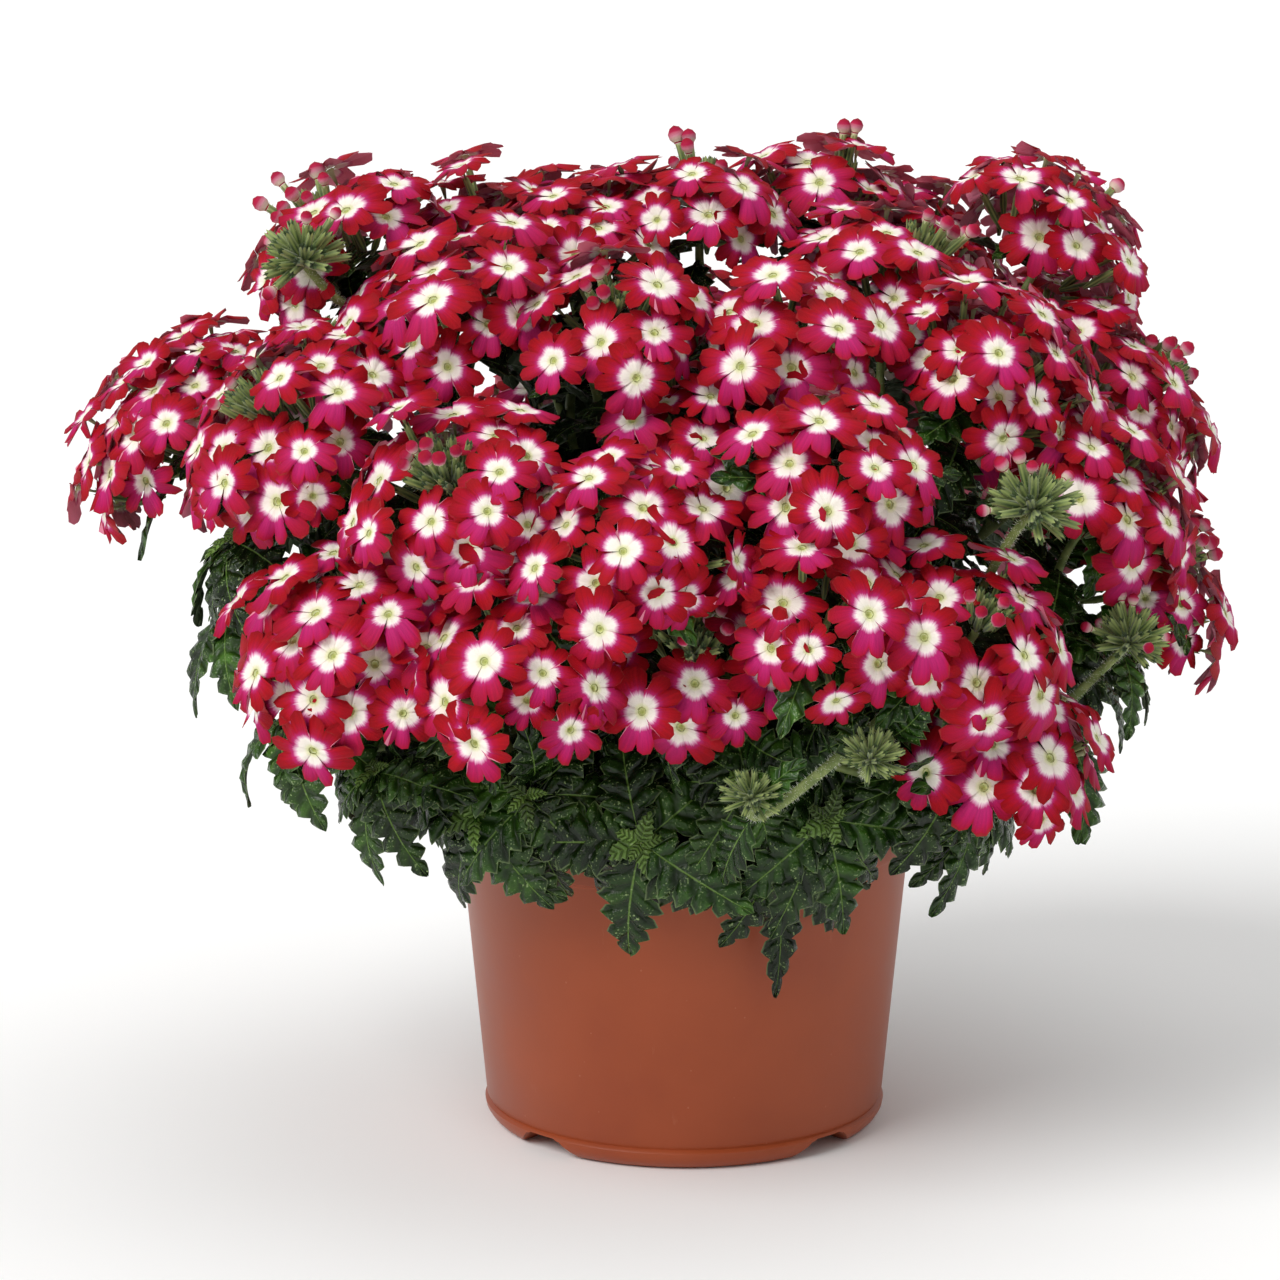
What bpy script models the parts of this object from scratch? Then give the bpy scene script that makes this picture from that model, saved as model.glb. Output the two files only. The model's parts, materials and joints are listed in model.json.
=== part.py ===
"""A verbena in flower in its plastic pot: the pot, its soil, the leafy stems and the flower heads.

Metres, +Z up. The pot is made about the Z axis and stands on Z = 0. The last step moves
everything so that the middle of the whole plant's footprint is at the origin.
"""

import math
import random

import bmesh
import bpy
from mathutils import Matrix, Vector
from mathutils.bvhtree import BVHTree

# Pot: a thin moulded container with a stepped rim band and four feet.
POT_HEIGHT = 0.094
RIM_RADIUS = 0.065
RIM_BAND = 0.013
BODY_TOP_RADIUS = 0.0622
BODY_BASE_RADIUS = 0.0552
WALL = 0.0014
FOOT_HEIGHT = 0.006
FOOT_RADIUS = 0.0558
FOOT_CURVE = 0.0043  # how far the foot's underside curls in
FOOT_RING_WIDTH = 0.004
FOOT_COUNT = 4
GAP_TOP = 0.011
GAP_BOTTOM = 0.026
GAP_REACH = 0.020
DRAIN_COUNT = 6
DRAIN_RADIUS = 0.004
DRAIN_RING_RADIUS = 0.036
POT_STEPS = 24

# Soil: it fills the pot, and each stem stands in a hole in it.
SOIL_LEVEL = 0.084
SOIL_MOUND = 0.003
SEAT_GAP = 0.0003
SOIL_STEPS = 20
HOLE_DEPTH = 0.020
HOLE_RADIUS = 0.0027

# Stems: four-sided, as verbena's are.
STEM_RADIUS = 0.0016
SIDE_STEM_RADIUS = 0.0013
CROWN_SHARE = 0.30  # a stem leaves the soil this far out, as a share of its heads' distance
STEM_FOOT_RISE = 0.004  # how far up from the soil's edge level its curve begins
STEM_POINTS = 5
SIDE_POINTS = 4
STEM_NECK = 0.004  # the last run, square to what the stem carries
TIP_SHARE = 0.27  # how far up the main stem a hanging tip grows from, and so on below
FORK_SHARE = 0.55
BUD_SHARE = 0.70
FORK_ANGLE_SHARE = 0.5  # how far a side stem's start turns from its parent towards its end
STEM_BEND = 0.38  # length of the curve's handles, as a share of its span
STEM_TRIES = 200
LOOSEST_TRY = 40  # from this try on, a stem strays as far as it may
STEM_PROBE_END = 0.96
PROBE_RUNS = 12
SQUARE = ((1, 1), (-1, 1), (-1, -1), (1, -1))
STEM_FOOT_SPACING = 0.0075

# Flower heads: across, in depth and up from the pot's foot. First those seen from the front,
# then a few that fill the crown behind them.
HEAD_PLACES = [
    (-0.096, -0.008, 0.247),
    (-0.062, 0.020, 0.246),
    (-0.142, -0.007, 0.197),
    (-0.106, -0.062, 0.206),
    (-0.064, -0.050, 0.235),
    (-0.020, -0.070, 0.235),
    (0.004, 0.002, 0.254),
    (-0.031, 0.045, 0.244),
    (0.043, 0.037, 0.251),
    (0.060, -0.014, 0.237),
    (0.103, 0.020, 0.244),
    (0.030, -0.068, 0.231),
    (0.083, -0.056, 0.220),
    (0.123, 0.004, 0.204),
    (0.114, -0.046, 0.186),
    (-0.060, -0.104, 0.198),
    (-0.015, -0.119, 0.188),
    (0.001, -0.076, 0.205),
    (0.039, -0.106, 0.205),
    (-0.091, -0.100, 0.157),
    (-0.045, -0.118, 0.158),
    (0.001, -0.103, 0.154),
    (0.036, -0.118, 0.170),
    (0.073, -0.108, 0.162),
    (0.085, -0.092, 0.128),
    (0.127, -0.011, 0.158),
]
CROWN_PLACES = [
    (-0.034, -0.014, 0.247),
    (-0.050, 0.076, 0.230),
    (0.066, 0.066, 0.235),
]
BACK_SPACING = 0.046  # a head copied to the back stays this far from every other
BACK_DEPTH = 0.03  # and it lies at least this far behind the pot's middle
HEAD_RADIUS = 0.0262
HEAD_LEAST_RADIUS = 0.018
LEAN_REACH = 0.14  # heads this far from the pot's axis lean out by 45 degrees
ICOSAHEDRON_INRADIUS = 0.7947  # for a circumradius of 1
CORE_SHARE = 0.36  # the green core's radius, as a share of the head's
FLORET_SHARE = 0.372  # a floret's radius, as a share of the head's
NOTCH_SHARE = 0.56
PETALS = 5
THROAT_DEPTH = 0.0022
TIP_DROP = 0.0010
HEAD_MARGIN = 0.0006

# Young heads with no open floret yet: green bud clusters.
BUD_PLACES = [
    (-0.101, -0.042, 0.247),
    (0.016, -0.122, 0.122),
    (0.046, -0.122, 0.132),
    (0.088, -0.098, 0.192),
    (0.116, -0.068, 0.150),
    (-0.108, 0.092, 0.200),
    (0.052, 0.136, 0.152),
]
BUD_RADIUS = 0.0085
BUD_POKE = 0.0045

# Leafy tips that hang over the pot's rim: the angle from the front, and how far out and up.
SKIRT_TIPS = [
    (-8, 0.088, 0.101),
    (24, 0.090, 0.106),
    (58, 0.092, 0.104),
    (96, 0.090, 0.110),
    (132, 0.088, 0.102),
    (168, 0.090, 0.106),
    (206, 0.090, 0.102),
    (244, 0.090, 0.108),
    (284, 0.094, 0.112),
    (322, 0.090, 0.104),
]
SKIRT_LEAVES = 5

# Leaves: toothed blades, folded along the rib and curling down towards the tip.
LEAF_LENGTH = 0.036
LEAF_WIDTH = 0.019
RIB_THICKNESS = 0.0012
LEAF_FOLD = 0.16  # how far the blade's halves rise from the rib, as a share of the width
LEAF_EDGE = [(0.27, 0.94), (0.40, 0.58), (0.57, 0.92), (0.70, 0.46), (0.85, 0.52)]
RIB_POINTS = (0.36, 0.72)
LEAF_SHARES = (0.82, 0.66, 0.48)
LEAF_SINK = 0.0009  # how far past its stem's middle a leaf's root reaches
LEAF_TRIES = 10
CLEARANCE = 0.0009
MOST_LEAVES = 2  # on a flowering stem, beside those of its hanging tip

WELD = 0.000004  # points closer than this are one

PETAL_RED = (0.62, 0.01, 0.05, 1)
LEAF_GREEN = (0.04, 0.12, 0.03, 1)
POT_TERRACOTTA = (0.40, 0.11, 0.06, 1)
SOIL_BROWN = (0.03, 0.02, 0.015, 1)


def clear_scene():
    for obj in list(bpy.data.objects):
        bpy.data.objects.remove(obj, do_unlink=True)


def new_collection(name, hidden=False):
    collection = bpy.data.collections.new(name)
    bpy.context.scene.collection.children.link(collection)
    collection.hide_render = hidden
    return collection


def new_material(name, colour, roughness):
    material = bpy.data.materials.new(name)
    material.use_nodes = True
    shader = material.node_tree.nodes["Principled BSDF"]
    shader.inputs["Base Color"].default_value = colour
    shader.inputs["Roughness"].default_value = roughness
    shader.inputs["Metallic"].default_value = 0.0
    return material


def new_object(name, mesh, collection, material=None):
    obj = bpy.data.objects.new(name, mesh)
    collection.objects.link(obj)
    if material:
        mesh.materials.append(material)
    return obj


def new_cutter(name, bm, cutters):
    cutter = new_object(name, mesh_from(bm, name), cutters)
    cutter.hide_render = True
    cutter.display_type = "WIRE"
    return cutter


def mesh_from(bm, name):
    bmesh.ops.recalc_face_normals(bm, faces=bm.faces)
    mesh = bpy.data.meshes.new(name)
    bm.to_mesh(mesh)
    bm.free()
    return mesh


def baked(obj):
    """The object as its modifiers leave it, as a plain mesh in world space."""
    bpy.context.view_layer.update()
    graph = bpy.context.evaluated_depsgraph_get()
    mesh = bpy.data.meshes.new_from_object(obj.evaluated_get(graph))
    mesh.transform(obj.matrix_world)
    bm = bmesh.new()
    bm.from_mesh(mesh)
    bmesh.ops.remove_doubles(bm, verts=bm.verts, dist=WELD)
    bmesh.ops.dissolve_degenerate(bm, edges=bm.edges, dist=WELD)
    bm.to_mesh(mesh)
    bm.free()
    return mesh


def apply_boolean(obj, operation, collection):
    modifier = obj.modifiers.new(operation.title(), "BOOLEAN")
    modifier.operation = operation
    modifier.operand_type = "COLLECTION"
    modifier.collection = collection
    modifier.solver = "EXACT"
    mesh = baked(obj)
    obj.modifiers.clear()
    obj.data = mesh


def empty_collection(collection):
    for obj in list(collection.objects):
        bpy.data.objects.remove(obj, do_unlink=True)


def turned(name, profile, steps, collection, material):
    """A turned solid from (radius, height) points, running up the inside and down the outside."""
    mesh = bpy.data.meshes.new(name)
    edges = [(i, i + 1) for i in range(len(profile) - 1)]
    mesh.from_pydata([(r, 0, z) for r, z in profile], edges, [])
    obj = new_object(name, mesh, collection, material)
    screw = obj.modifiers.new("Turn", "SCREW")
    screw.steps = steps
    screw.render_steps = steps
    screw.use_merge_vertices = True
    screw.merge_threshold = 0.00001
    obj.data = baked(obj)
    obj.modifiers.clear()
    return obj


def pot_profile():
    band_base = POT_HEIGHT - RIM_BAND
    foot_top = FOOT_HEIGHT - 0.0004
    foot_base = FOOT_RADIUS - FOOT_CURVE
    foot_inner = foot_base - FOOT_RING_WIDTH
    floor_top = FOOT_HEIGHT + 0.0005
    floor_under = floor_top - WALL - 0.0005
    return [
        (0, floor_top),
        (BODY_BASE_RADIUS - WALL, floor_top),
        (BODY_TOP_RADIUS - WALL, band_base),
        (RIM_RADIUS - WALL, band_base + 0.001),
        (RIM_RADIUS - WALL, POT_HEIGHT),
        (RIM_RADIUS, POT_HEIGHT),
        (RIM_RADIUS, band_base),
        (BODY_TOP_RADIUS, band_base - 0.001),
        (BODY_BASE_RADIUS, FOOT_HEIGHT + 0.0006),
        (BODY_BASE_RADIUS - 0.0005, FOOT_HEIGHT),
        (FOOT_RADIUS, foot_top),
        (FOOT_RADIUS - 0.45 * FOOT_CURVE, 0.2 * foot_top),
        (foot_base, 0),
        (foot_inner, 0),
        (foot_inner - 0.001, floor_under),
        (0, floor_under),
    ]


def foot_gap_cutters(cutters):
    """Wedges, wider below, that part the foot ring into four feet."""
    height = FOOT_HEIGHT - 0.0008
    for k in range(FOOT_COUNT):
        bm = bmesh.new()
        bmesh.ops.create_cube(bm, size=1)
        for vertex in bm.verts:
            wide = GAP_TOP if vertex.co.z > 0 else GAP_BOTTOM
            vertex.co.x = FOOT_RADIUS - FOOT_CURVE + vertex.co.x * GAP_REACH
            vertex.co.y *= wide
            vertex.co.z = height if vertex.co.z > 0 else -0.001
        angle = math.pi / 4 + k * 2 * math.pi / FOOT_COUNT
        bmesh.ops.rotate(bm, verts=bm.verts, matrix=Matrix.Rotation(angle, 3, "Z"))
        new_cutter(f"foot_gap_{k}", bm, cutters)


def drain_cutters(cutters):
    for k in range(DRAIN_COUNT):
        angle = 2 * math.pi * k / DRAIN_COUNT
        bm = bmesh.new()
        bmesh.ops.create_cone(
            bm, cap_ends=True, segments=6, radius1=DRAIN_RADIUS, radius2=DRAIN_RADIUS, depth=0.02
        )
        place = Vector((math.cos(angle), math.sin(angle), 0)) * DRAIN_RING_RADIUS
        bmesh.ops.translate(bm, verts=bm.verts, vec=place + Vector((0, 0, FOOT_HEIGHT)))
        new_cutter(f"drain_{k}", bm, cutters)


def build_pot(parts, cutters, material):
    pot = turned("pot", pot_profile(), POT_STEPS, parts, material)
    foot_gap_cutters(cutters)
    drain_cutters(cutters)
    apply_boolean(pot, "DIFFERENCE", cutters)
    empty_collection(cutters)
    return pot


def build_soil(parts, cutters, material, hole_places):
    band_base = POT_HEIGHT - RIM_BAND
    base_radius = BODY_BASE_RADIUS - WALL - 2 * SEAT_GAP
    neck_radius = BODY_TOP_RADIUS - WALL - 2 * SEAT_GAP
    profile = [
        (0, SOIL_LEVEL),
        (0.045, SOIL_LEVEL + SOIL_MOUND),
        (neck_radius, SOIL_LEVEL),
        (neck_radius, band_base),
        (base_radius, FOOT_HEIGHT + 0.0005 + SEAT_GAP),
        (0, FOOT_HEIGHT + 0.0005 + SEAT_GAP),
    ]
    soil = turned("potting_soil", profile, SOIL_STEPS, parts, material)
    for k, place in enumerate(hole_places):
        bm = bmesh.new()
        bmesh.ops.create_cone(
            bm, cap_ends=True, segments=5, radius1=HOLE_RADIUS, radius2=HOLE_RADIUS, depth=0.06
        )
        low = SOIL_LEVEL - HOLE_DEPTH
        bmesh.ops.translate(bm, verts=bm.verts, vec=(place.x, place.y, low + 0.03))
        new_cutter(f"stem_hole_{k}", bm, cutters)
    apply_boolean(soil, "DIFFERENCE", cutters)
    empty_collection(cutters)
    return soil


def all_head_places():
    """The front heads, each again turned half round the pot where it finds room, and the crown's."""
    places = [Vector(place) for place in HEAD_PLACES + CROWN_PLACES]
    for place in [Vector(place) for place in HEAD_PLACES]:
        back = Vector((-place.x, -place.y, place.z))
        nearest = min((back - other).length for other in places)
        if back.y > BACK_DEPTH and nearest > BACK_SPACING:
            places.append(back)
    return places


def head_radius(places, index):
    """A head grows until it meets its nearest neighbour."""
    nearest = min((places[index] - p).length for i, p in enumerate(places) if i != index)
    return max(HEAD_LEAST_RADIUS, min(HEAD_RADIUS, nearest / 2))


def head_axis(place):
    return Vector((place.x / LEAN_REACH, place.y / LEAN_REACH, 1)).normalized()


def head_matrix(place):
    turn = head_axis(place).to_track_quat("Z", "Y").to_matrix().to_4x4()
    return Matrix.Translation(place) @ turn


def open_floret(bm, face, radius, spin):
    """Lofts a three-sided face of the core out to a five-petalled floret with a sunken throat."""
    normal = face.normal.copy()
    across = (face.verts[0].co - face.calc_center_median()).normalized()
    along = normal.cross(across)
    base = list(face.verts)
    bm.faces.remove(face)
    ring = []
    for k in range(2 * PETALS):
        angle = spin + math.pi * k / PETALS
        reach = radius * FLORET_SHARE * (1 if k % 2 == 0 else NOTCH_SHARE)
        lift = radius - HEAD_MARGIN - (TIP_DROP if k % 2 == 0 else 0)
        spoke = across * math.cos(angle) + along * math.sin(angle)
        ring.append(bm.verts.new(normal * lift + spoke * reach))
    throat = bm.verts.new(normal * (radius - HEAD_MARGIN - THROAT_DEPTH))
    for k in range(2 * PETALS):
        bm.faces.new((throat, ring[k], ring[(k + 1) % len(ring)]))
    loft(bm, ring, base, spin)


def loft(bm, ring, base, spin):
    """Joins the floret's ring to the triangle it grows from, each to its nearest corner."""
    count = len(ring)

    def corner(k):
        angle = spin + 2 * math.pi * k / count
        return round(angle / (2 * math.pi / 3)) % 3

    for k in range(count):
        here, there = ring[k], ring[(k + 1) % count]
        a, b = corner(k), corner(k + 1)
        bm.faces.new((there, here, base[a]))
        if a != b:
            bm.faces.new((there, base[a], base[b]))


def build_head(name, parts, place, radius, material):
    """A core of twenty faces, face up, with a floret on each of its upper ten."""
    bm = bmesh.new()
    bmesh.ops.create_icosphere(bm, subdivisions=1, radius=radius * CORE_SHARE)
    bm.faces.ensure_lookup_table()
    upright = bm.faces[0].normal.rotation_difference(Vector((0, 0, 1))).to_matrix()
    bmesh.ops.rotate(bm, verts=bm.verts, matrix=upright)
    bm.normal_update()
    upper = [face for face in bm.faces if face.normal.z > 0.1]
    upper.sort(key=lambda face: (round(face.normal.z, 3), math.atan2(face.normal.y, face.normal.x)))
    for face in upper:
        open_floret(bm, face, radius, spin=0.0)
    mesh = mesh_from(bm, name)
    mesh.transform(head_matrix(place))
    return new_object(name, mesh, parts, material)


def head_seat(place, radius):
    """Where the stem's end meets the flat underside of the core, and the way it points."""
    inradius = ICOSAHEDRON_INRADIUS * radius * CORE_SHARE
    axis = head_axis(place)
    return place - axis * (inradius + SEAT_GAP), axis


class Stem:
    """A stem's centre line: straight runs along a cubic curve, then a straight neck."""

    def __init__(self, start, start_way, end, end_way, count, bend=STEM_BEND):
        handle = (end - start).length * bend
        neck = end - end_way * STEM_NECK
        corners = (start, start + start_way * handle, neck - end_way * handle, neck)
        self.points = [cubic(corners, k / (count - 1)) for k in range(count)] + [end]

    def at(self, share):
        run, rest = self.run_at(share)
        return self.points[run].lerp(self.points[run + 1], rest)

    def way(self, share):
        run, _rest = self.run_at(share)
        return (self.points[run + 1] - self.points[run]).normalized()

    def run_at(self, share):
        place = share * (len(self.points) - 1)
        run = min(int(place), len(self.points) - 2)
        return run, place - run

    def tree(self, radius):
        """A search tree of the stem at the given radius, stopping just short of its end."""
        points = [self.at(STEM_PROBE_END * k / PROBE_RUNS) for k in range(PROBE_RUNS + 1)]
        corners = []
        for k, point in enumerate(points):
            way = points[min(k + 1, PROBE_RUNS)] - points[max(k - 1, 0)]
            turn = way.to_track_quat("Z", "Y").to_matrix()
            corners += [point + turn @ Vector((x, y, 0)) * radius for x, y in SQUARE]
        sides = [
            (4 * k + i, 4 * k + (i + 1) % 4, 4 * k + 4 + (i + 1) % 4, 4 * k + 4 + i)
            for k in range(PROBE_RUNS)
            for i in range(4)
        ]
        return BVHTree.FromPolygons(corners, sides)


def cubic(corners, t):
    a, b, c, d = corners
    s = 1 - t
    return a * s**3 + b * 3 * s * s * t + c * 3 * s * t * t + d * t**3


def tube(name, points, radius, collection):
    """A four-sided tube along the points, as a closed mesh."""
    curve = bpy.data.curves.new(name, "CURVE")
    curve.dimensions = "3D"
    curve.bevel_depth = radius
    curve.bevel_resolution = 0
    curve.use_fill_caps = True
    spline = curve.splines.new("POLY")
    spline.points.add(len(points) - 1)
    for point, place in zip(spline.points, points):
        point.co = (*place, 1)
    guide = bpy.data.objects.new(name + "_line", curve)
    collection.objects.link(guide)
    mesh = baked(guide)
    bpy.data.objects.remove(guide, do_unlink=True)
    return new_object(name, mesh, collection)


def pair_up(places):
    """Pairs each head with its nearest free neighbour, from the outermost in, so two share a stem."""
    free = sorted(range(len(places)), key=lambda i: -places[i].xy.length)
    pairs = []
    while free:
        first = free.pop(0)
        if free:
            second = min(free, key=lambda i: (places[i] - places[first]).length)
            free.remove(second)
            pairs.append((first, second))
        else:
            pairs.append((first,))
    return pairs


def main_stem(places, radii, pair, draw, loose):
    """From the soil up to the pair's first head. The looser, the further its foot and bend stray."""
    middle = sum((places[i] for i in pair), Vector()) / len(pair)
    crown = CROWN_SHARE + draw.uniform(-0.13, 0.13) * loose
    spin = Matrix.Rotation(draw.uniform(-0.5, 0.5) * loose, 3, "Z")
    foot = spin @ Vector((middle.x * crown, middle.y * crown, SOIL_LEVEL + STEM_FOOT_RISE))
    end, way = head_seat(places[pair[0]], radii[pair[0]])
    bend = STEM_BEND + draw.uniform(-0.20, 0.24) * loose
    return Stem(foot, Vector((0, 0, 1)), end, way, STEM_POINTS, bend)


def side_stem(trunk, share, end, way, draw, loose):
    """A stem that parts from its trunk at about a share of the trunk's length."""
    share += draw.uniform(-0.22, 0.16) * loose
    start = trunk.at(share)
    start_way = trunk.way(share).lerp((end - start).normalized(), FORK_ANGLE_SHARE)
    bend = STEM_BEND + draw.uniform(-0.24, 0.15) * loose
    return Stem(start, start_way.normalized(), end, way, SIDE_POINTS, bend)


def nearest_trunk(trunks, place, share):
    return min(range(len(trunks)), key=lambda k: (trunks[k].at(share) - place).length)


def clear(tree, obstacles):
    return not any(tree.overlap(other) for other in obstacles)


def skirt_place(tip):
    degrees, reach, height = tip
    angle = math.radians(degrees - 90)
    return Vector((math.cos(angle) * reach, math.sin(angle) * reach, height))


def skirt_way(tip):
    """A hanging tip looks out from the pot, and a little up."""
    out = skirt_place(tip).xy.normalized()
    return Vector((out.x, out.y, 0.25)).normalized()


def leaf_frame(base, stem_way, turn, lift, length, width, bend):
    """Where a leaf grows: its base, and the ways along, across and out of its upper face."""
    level = stem_way.cross(Vector((0, 0, 1)))
    if level.length < 0.05:
        level = Vector((1, 0, 0))
    side = Matrix.Rotation(turn, 3, stem_way) @ level.normalized()
    along = (side * math.cos(lift) + stem_way * math.sin(lift)).normalized()
    face = (stem_way - along * stem_way.dot(along)).normalized()
    return base - along * LEAF_SINK, along, face.cross(along), face, length, width, bend


def leaf_point(frame, share, across, rise):
    """A point of the leaf: share of its length, metres across and metres above its rib."""
    base, along, side, face, length, _width, bend = frame
    angle = bend * share
    out = length * math.sin(angle) / bend
    down = length * (1 - math.cos(angle)) / bend
    face_here = face * math.cos(angle) + along * math.sin(angle)
    return base + along * out - face * down + side * across + face_here * rise


def leaf_solid(frame, thickness, swell=1.0):
    """A toothed blade, thick at its rib and sharp at its edge, split alike on both faces."""
    width = frame[5] / 2 * swell
    bm = bmesh.new()
    base = bm.verts.new(leaf_point(frame, 0, 0, 0))
    tip = bm.verts.new(leaf_point(frame, swell, 0, 0))
    ribs = {}
    for sign in (1, -1):
        ribs[sign] = [bm.verts.new(leaf_point(frame, s, 0, sign * thickness / 2)) for s in RIB_POINTS]
    for hand in (1, -1):
        edge = [base]
        for share, reach in LEAF_EDGE:
            across = hand * reach * width
            edge.append(bm.verts.new(leaf_point(frame, share, across, abs(across) * LEAF_FOLD)))
        edge.append(tip)
        for sign in (1, -1):
            fill_half(bm, edge, ribs[sign])
    bmesh.ops.recalc_face_normals(bm, faces=bm.faces)
    return bm


def fill_half(bm, edge, ribs):
    """Triangles between the toothed edge and the rib, each edge going to its nearer rib point."""
    low, high = ribs
    turn = sum(share < sum(RIB_POINTS) / 2 for share, _ in LEAF_EDGE)
    for k in range(len(edge) - 1):
        bm.faces.new((edge[k], edge[k + 1], low if k < turn else high))
    bm.faces.new((edge[turn], high, low))


def leaf_tries(name, base, stem_way, turn, lift, size):
    """The ways a leaf may settle, best first: each a little further round, lower or smaller."""
    draw = random.Random(name)
    length = LEAF_LENGTH * size * draw.uniform(0.88, 1.10)
    width = LEAF_WIDTH * size * draw.uniform(0.90, 1.10)
    bend = draw.uniform(0.55, 1.15)
    for k in range(LEAF_TRIES):
        swing = draw.uniform(-0.12, 0.12) * (k + 1)
        dip = draw.uniform(-0.14, 0.14) * (k + 1)
        shrink = 1 - 0.035 * k
        yield leaf_frame(
            base, stem_way, turn + swing, lift + dip, length * shrink, width * shrink, bend
        )


def tree_of(mesh_or_bm):
    if isinstance(mesh_or_bm, bmesh.types.BMesh):
        return BVHTree.FromBMesh(mesh_or_bm)
    points = [vertex.co for vertex in mesh_or_bm.vertices]
    return BVHTree.FromPolygons(points, [polygon.vertices for polygon in mesh_or_bm.polygons])


def grow_leaf(name, collection, tries, obstacles, own):
    """Keeps the first try that clears every other piece, or none. A leaf may touch its own stem."""
    for frame in tries:
        probe = leaf_solid(frame, RIB_THICKNESS + 2 * CLEARANCE, swell=1.06)
        probe_tree = tree_of(probe)
        probe.free()
        if any(probe_tree.overlap(tree) for tree in obstacles):
            continue
        blade = leaf_solid(frame, RIB_THICKNESS)
        mesh = bpy.data.meshes.new(name)
        blade.to_mesh(mesh)
        blade.free()
        own.append(tree_of(mesh))
        return new_object(name, mesh, collection)
    return None


def bud_cluster(name, place, collection):
    """A ball of green buds, each a low point on its side."""
    bm = bmesh.new()
    bmesh.ops.create_icosphere(bm, subdivisions=1, radius=BUD_RADIUS)
    bmesh.ops.poke(bm, faces=bm.faces, offset=BUD_POKE)
    bmesh.ops.translate(bm, verts=bm.verts, vec=place)
    return new_object(name, mesh_from(bm, name), collection)


def lay_trunk(name, places, radii, pair, obstacles, feet):
    """The pair's main stem and its fork: the first of many seeded tries that runs clear."""
    draw = random.Random(name)
    for attempt in range(STEM_TRIES):
        loose = min(1, attempt / LOOSEST_TRY)
        trunk = main_stem(places, radii, pair, draw, loose)
        forks = [
            side_stem(trunk, FORK_SHARE, *head_seat(places[i], radii[i]), draw, loose)
            for i in pair[1:]
        ]
        spaced = all((trunk.points[0] - foot).length > STEM_FOOT_SPACING for foot in feet)
        trees = [stem.tree(STEM_RADIUS + CLEARANCE) for stem in [trunk, *forks]]
        if spaced and all(clear(tree, obstacles) for tree in trees):
            break
    return trunk, forks


def lay_side(name, trunk, share, end, way, obstacles):
    draw = random.Random(name)
    for attempt in range(STEM_TRIES):
        stem = side_stem(trunk, share, end, way, draw, min(1, attempt / LOOSEST_TRY))
        if clear(stem.tree(SIDE_STEM_RADIUS + CLEARANCE), obstacles):
            break
    return stem


def lay_stems(places, radii, pairs, holders, shared):
    """Every stem's line and tube, in a collection for each leafy stem: trunk, fork, buds and tips."""
    trunks = []
    laid = [[] for _ in pairs]
    for k, (pair, holder) in enumerate(zip(pairs, holders)):
        obstacles = clear_of(k, laid, shared)
        feet = [trunk.points[0] for trunk in trunks]
        trunk, forks = lay_trunk(f"trunk {k}", places, radii, pair, obstacles, feet)
        root = trunk.points[0] - Vector((0, 0, HOLE_DEPTH + STEM_FOOT_RISE - SEAT_GAP))
        tube("trunk", [root, *trunk.points], STEM_RADIUS, holder)
        for fork in forks:
            tube("fork", fork.points, SIDE_STEM_RADIUS, holder)
        trunks.append(trunk)
        laid[k] = [stem.tree(STEM_RADIUS) for stem in [trunk, *forks]]
    for n, place in enumerate(BUD_PLACES):
        place = Vector(place)
        k = nearest_trunk(trunks, place, BUD_SHARE)
        obstacles = clear_of(k, laid, shared)
        stem = lay_side(f"bud {n}", trunks[k], BUD_SHARE, place, head_axis(place), obstacles)
        tube("bud_stem", stem.points, SIDE_STEM_RADIUS, holders[k])
        bud_cluster("buds", place, holders[k])
        laid[k].append(stem.tree(SIDE_STEM_RADIUS))
    tips = []
    for n, tip in enumerate(SKIRT_TIPS):
        end, way = skirt_place(tip), skirt_way(tip)
        k = nearest_trunk(trunks, end, TIP_SHARE)
        stem = lay_side(f"tip {n}", trunks[k], TIP_SHARE, end, way, clear_of(k, laid, shared))
        tube("tip_stem", stem.points, SIDE_STEM_RADIUS, holders[k])
        laid[k].append(stem.tree(SIDE_STEM_RADIUS))
        tips.append((k, stem))
    return trunks, tips


def clear_of(own, trees_by_stem, shared):
    return shared + [tree for k, trees in enumerate(trees_by_stem) if k != own for tree in trees]


def dress_tips(tips, holders, trees_by_stem, shared):
    """A fan of leaves round each tip that hangs over the rim."""
    for n, (k, stem) in enumerate(tips):
        obstacles = clear_of(k, trees_by_stem, shared)
        for leaf in range(SKIRT_LEAVES):
            turn = 2 * math.pi * (leaf + 0.35 * (n % 3)) / SKIRT_LEAVES
            base = stem.at(0.97 - 0.05 * (leaf % 2))
            name = f"tip_{n}_leaf_{leaf}"
            tries = leaf_tries(name, base, stem.way(0.95), turn, 0.30 - 0.25 * (leaf % 2), 1.0)
            grow_leaf(name, holders[k], tries, obstacles, trees_by_stem[k])


def dress_stems(trunks, holders, trees_by_stem, shared):
    """Opposite leaves up each flowering stem, each pair a quarter turn on from the last."""
    for k, trunk in enumerate(trunks):
        obstacles = clear_of(k, trees_by_stem, shared)
        grown = 0
        for node, share in enumerate(LEAF_SHARES):
            for hand in (0, 1):
                if grown == MOST_LEAVES:
                    break
                name = f"stem_{k}_node_{node}_leaf_{hand}"
                turn = math.pi * hand + math.pi / 2 * (node % 2)
                tries = leaf_tries(name, trunk.at(share), trunk.way(share), turn, 0.35, 0.95)
                grown += grow_leaf(name, holders[k], tries, obstacles, trees_by_stem[k]) is not None


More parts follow.
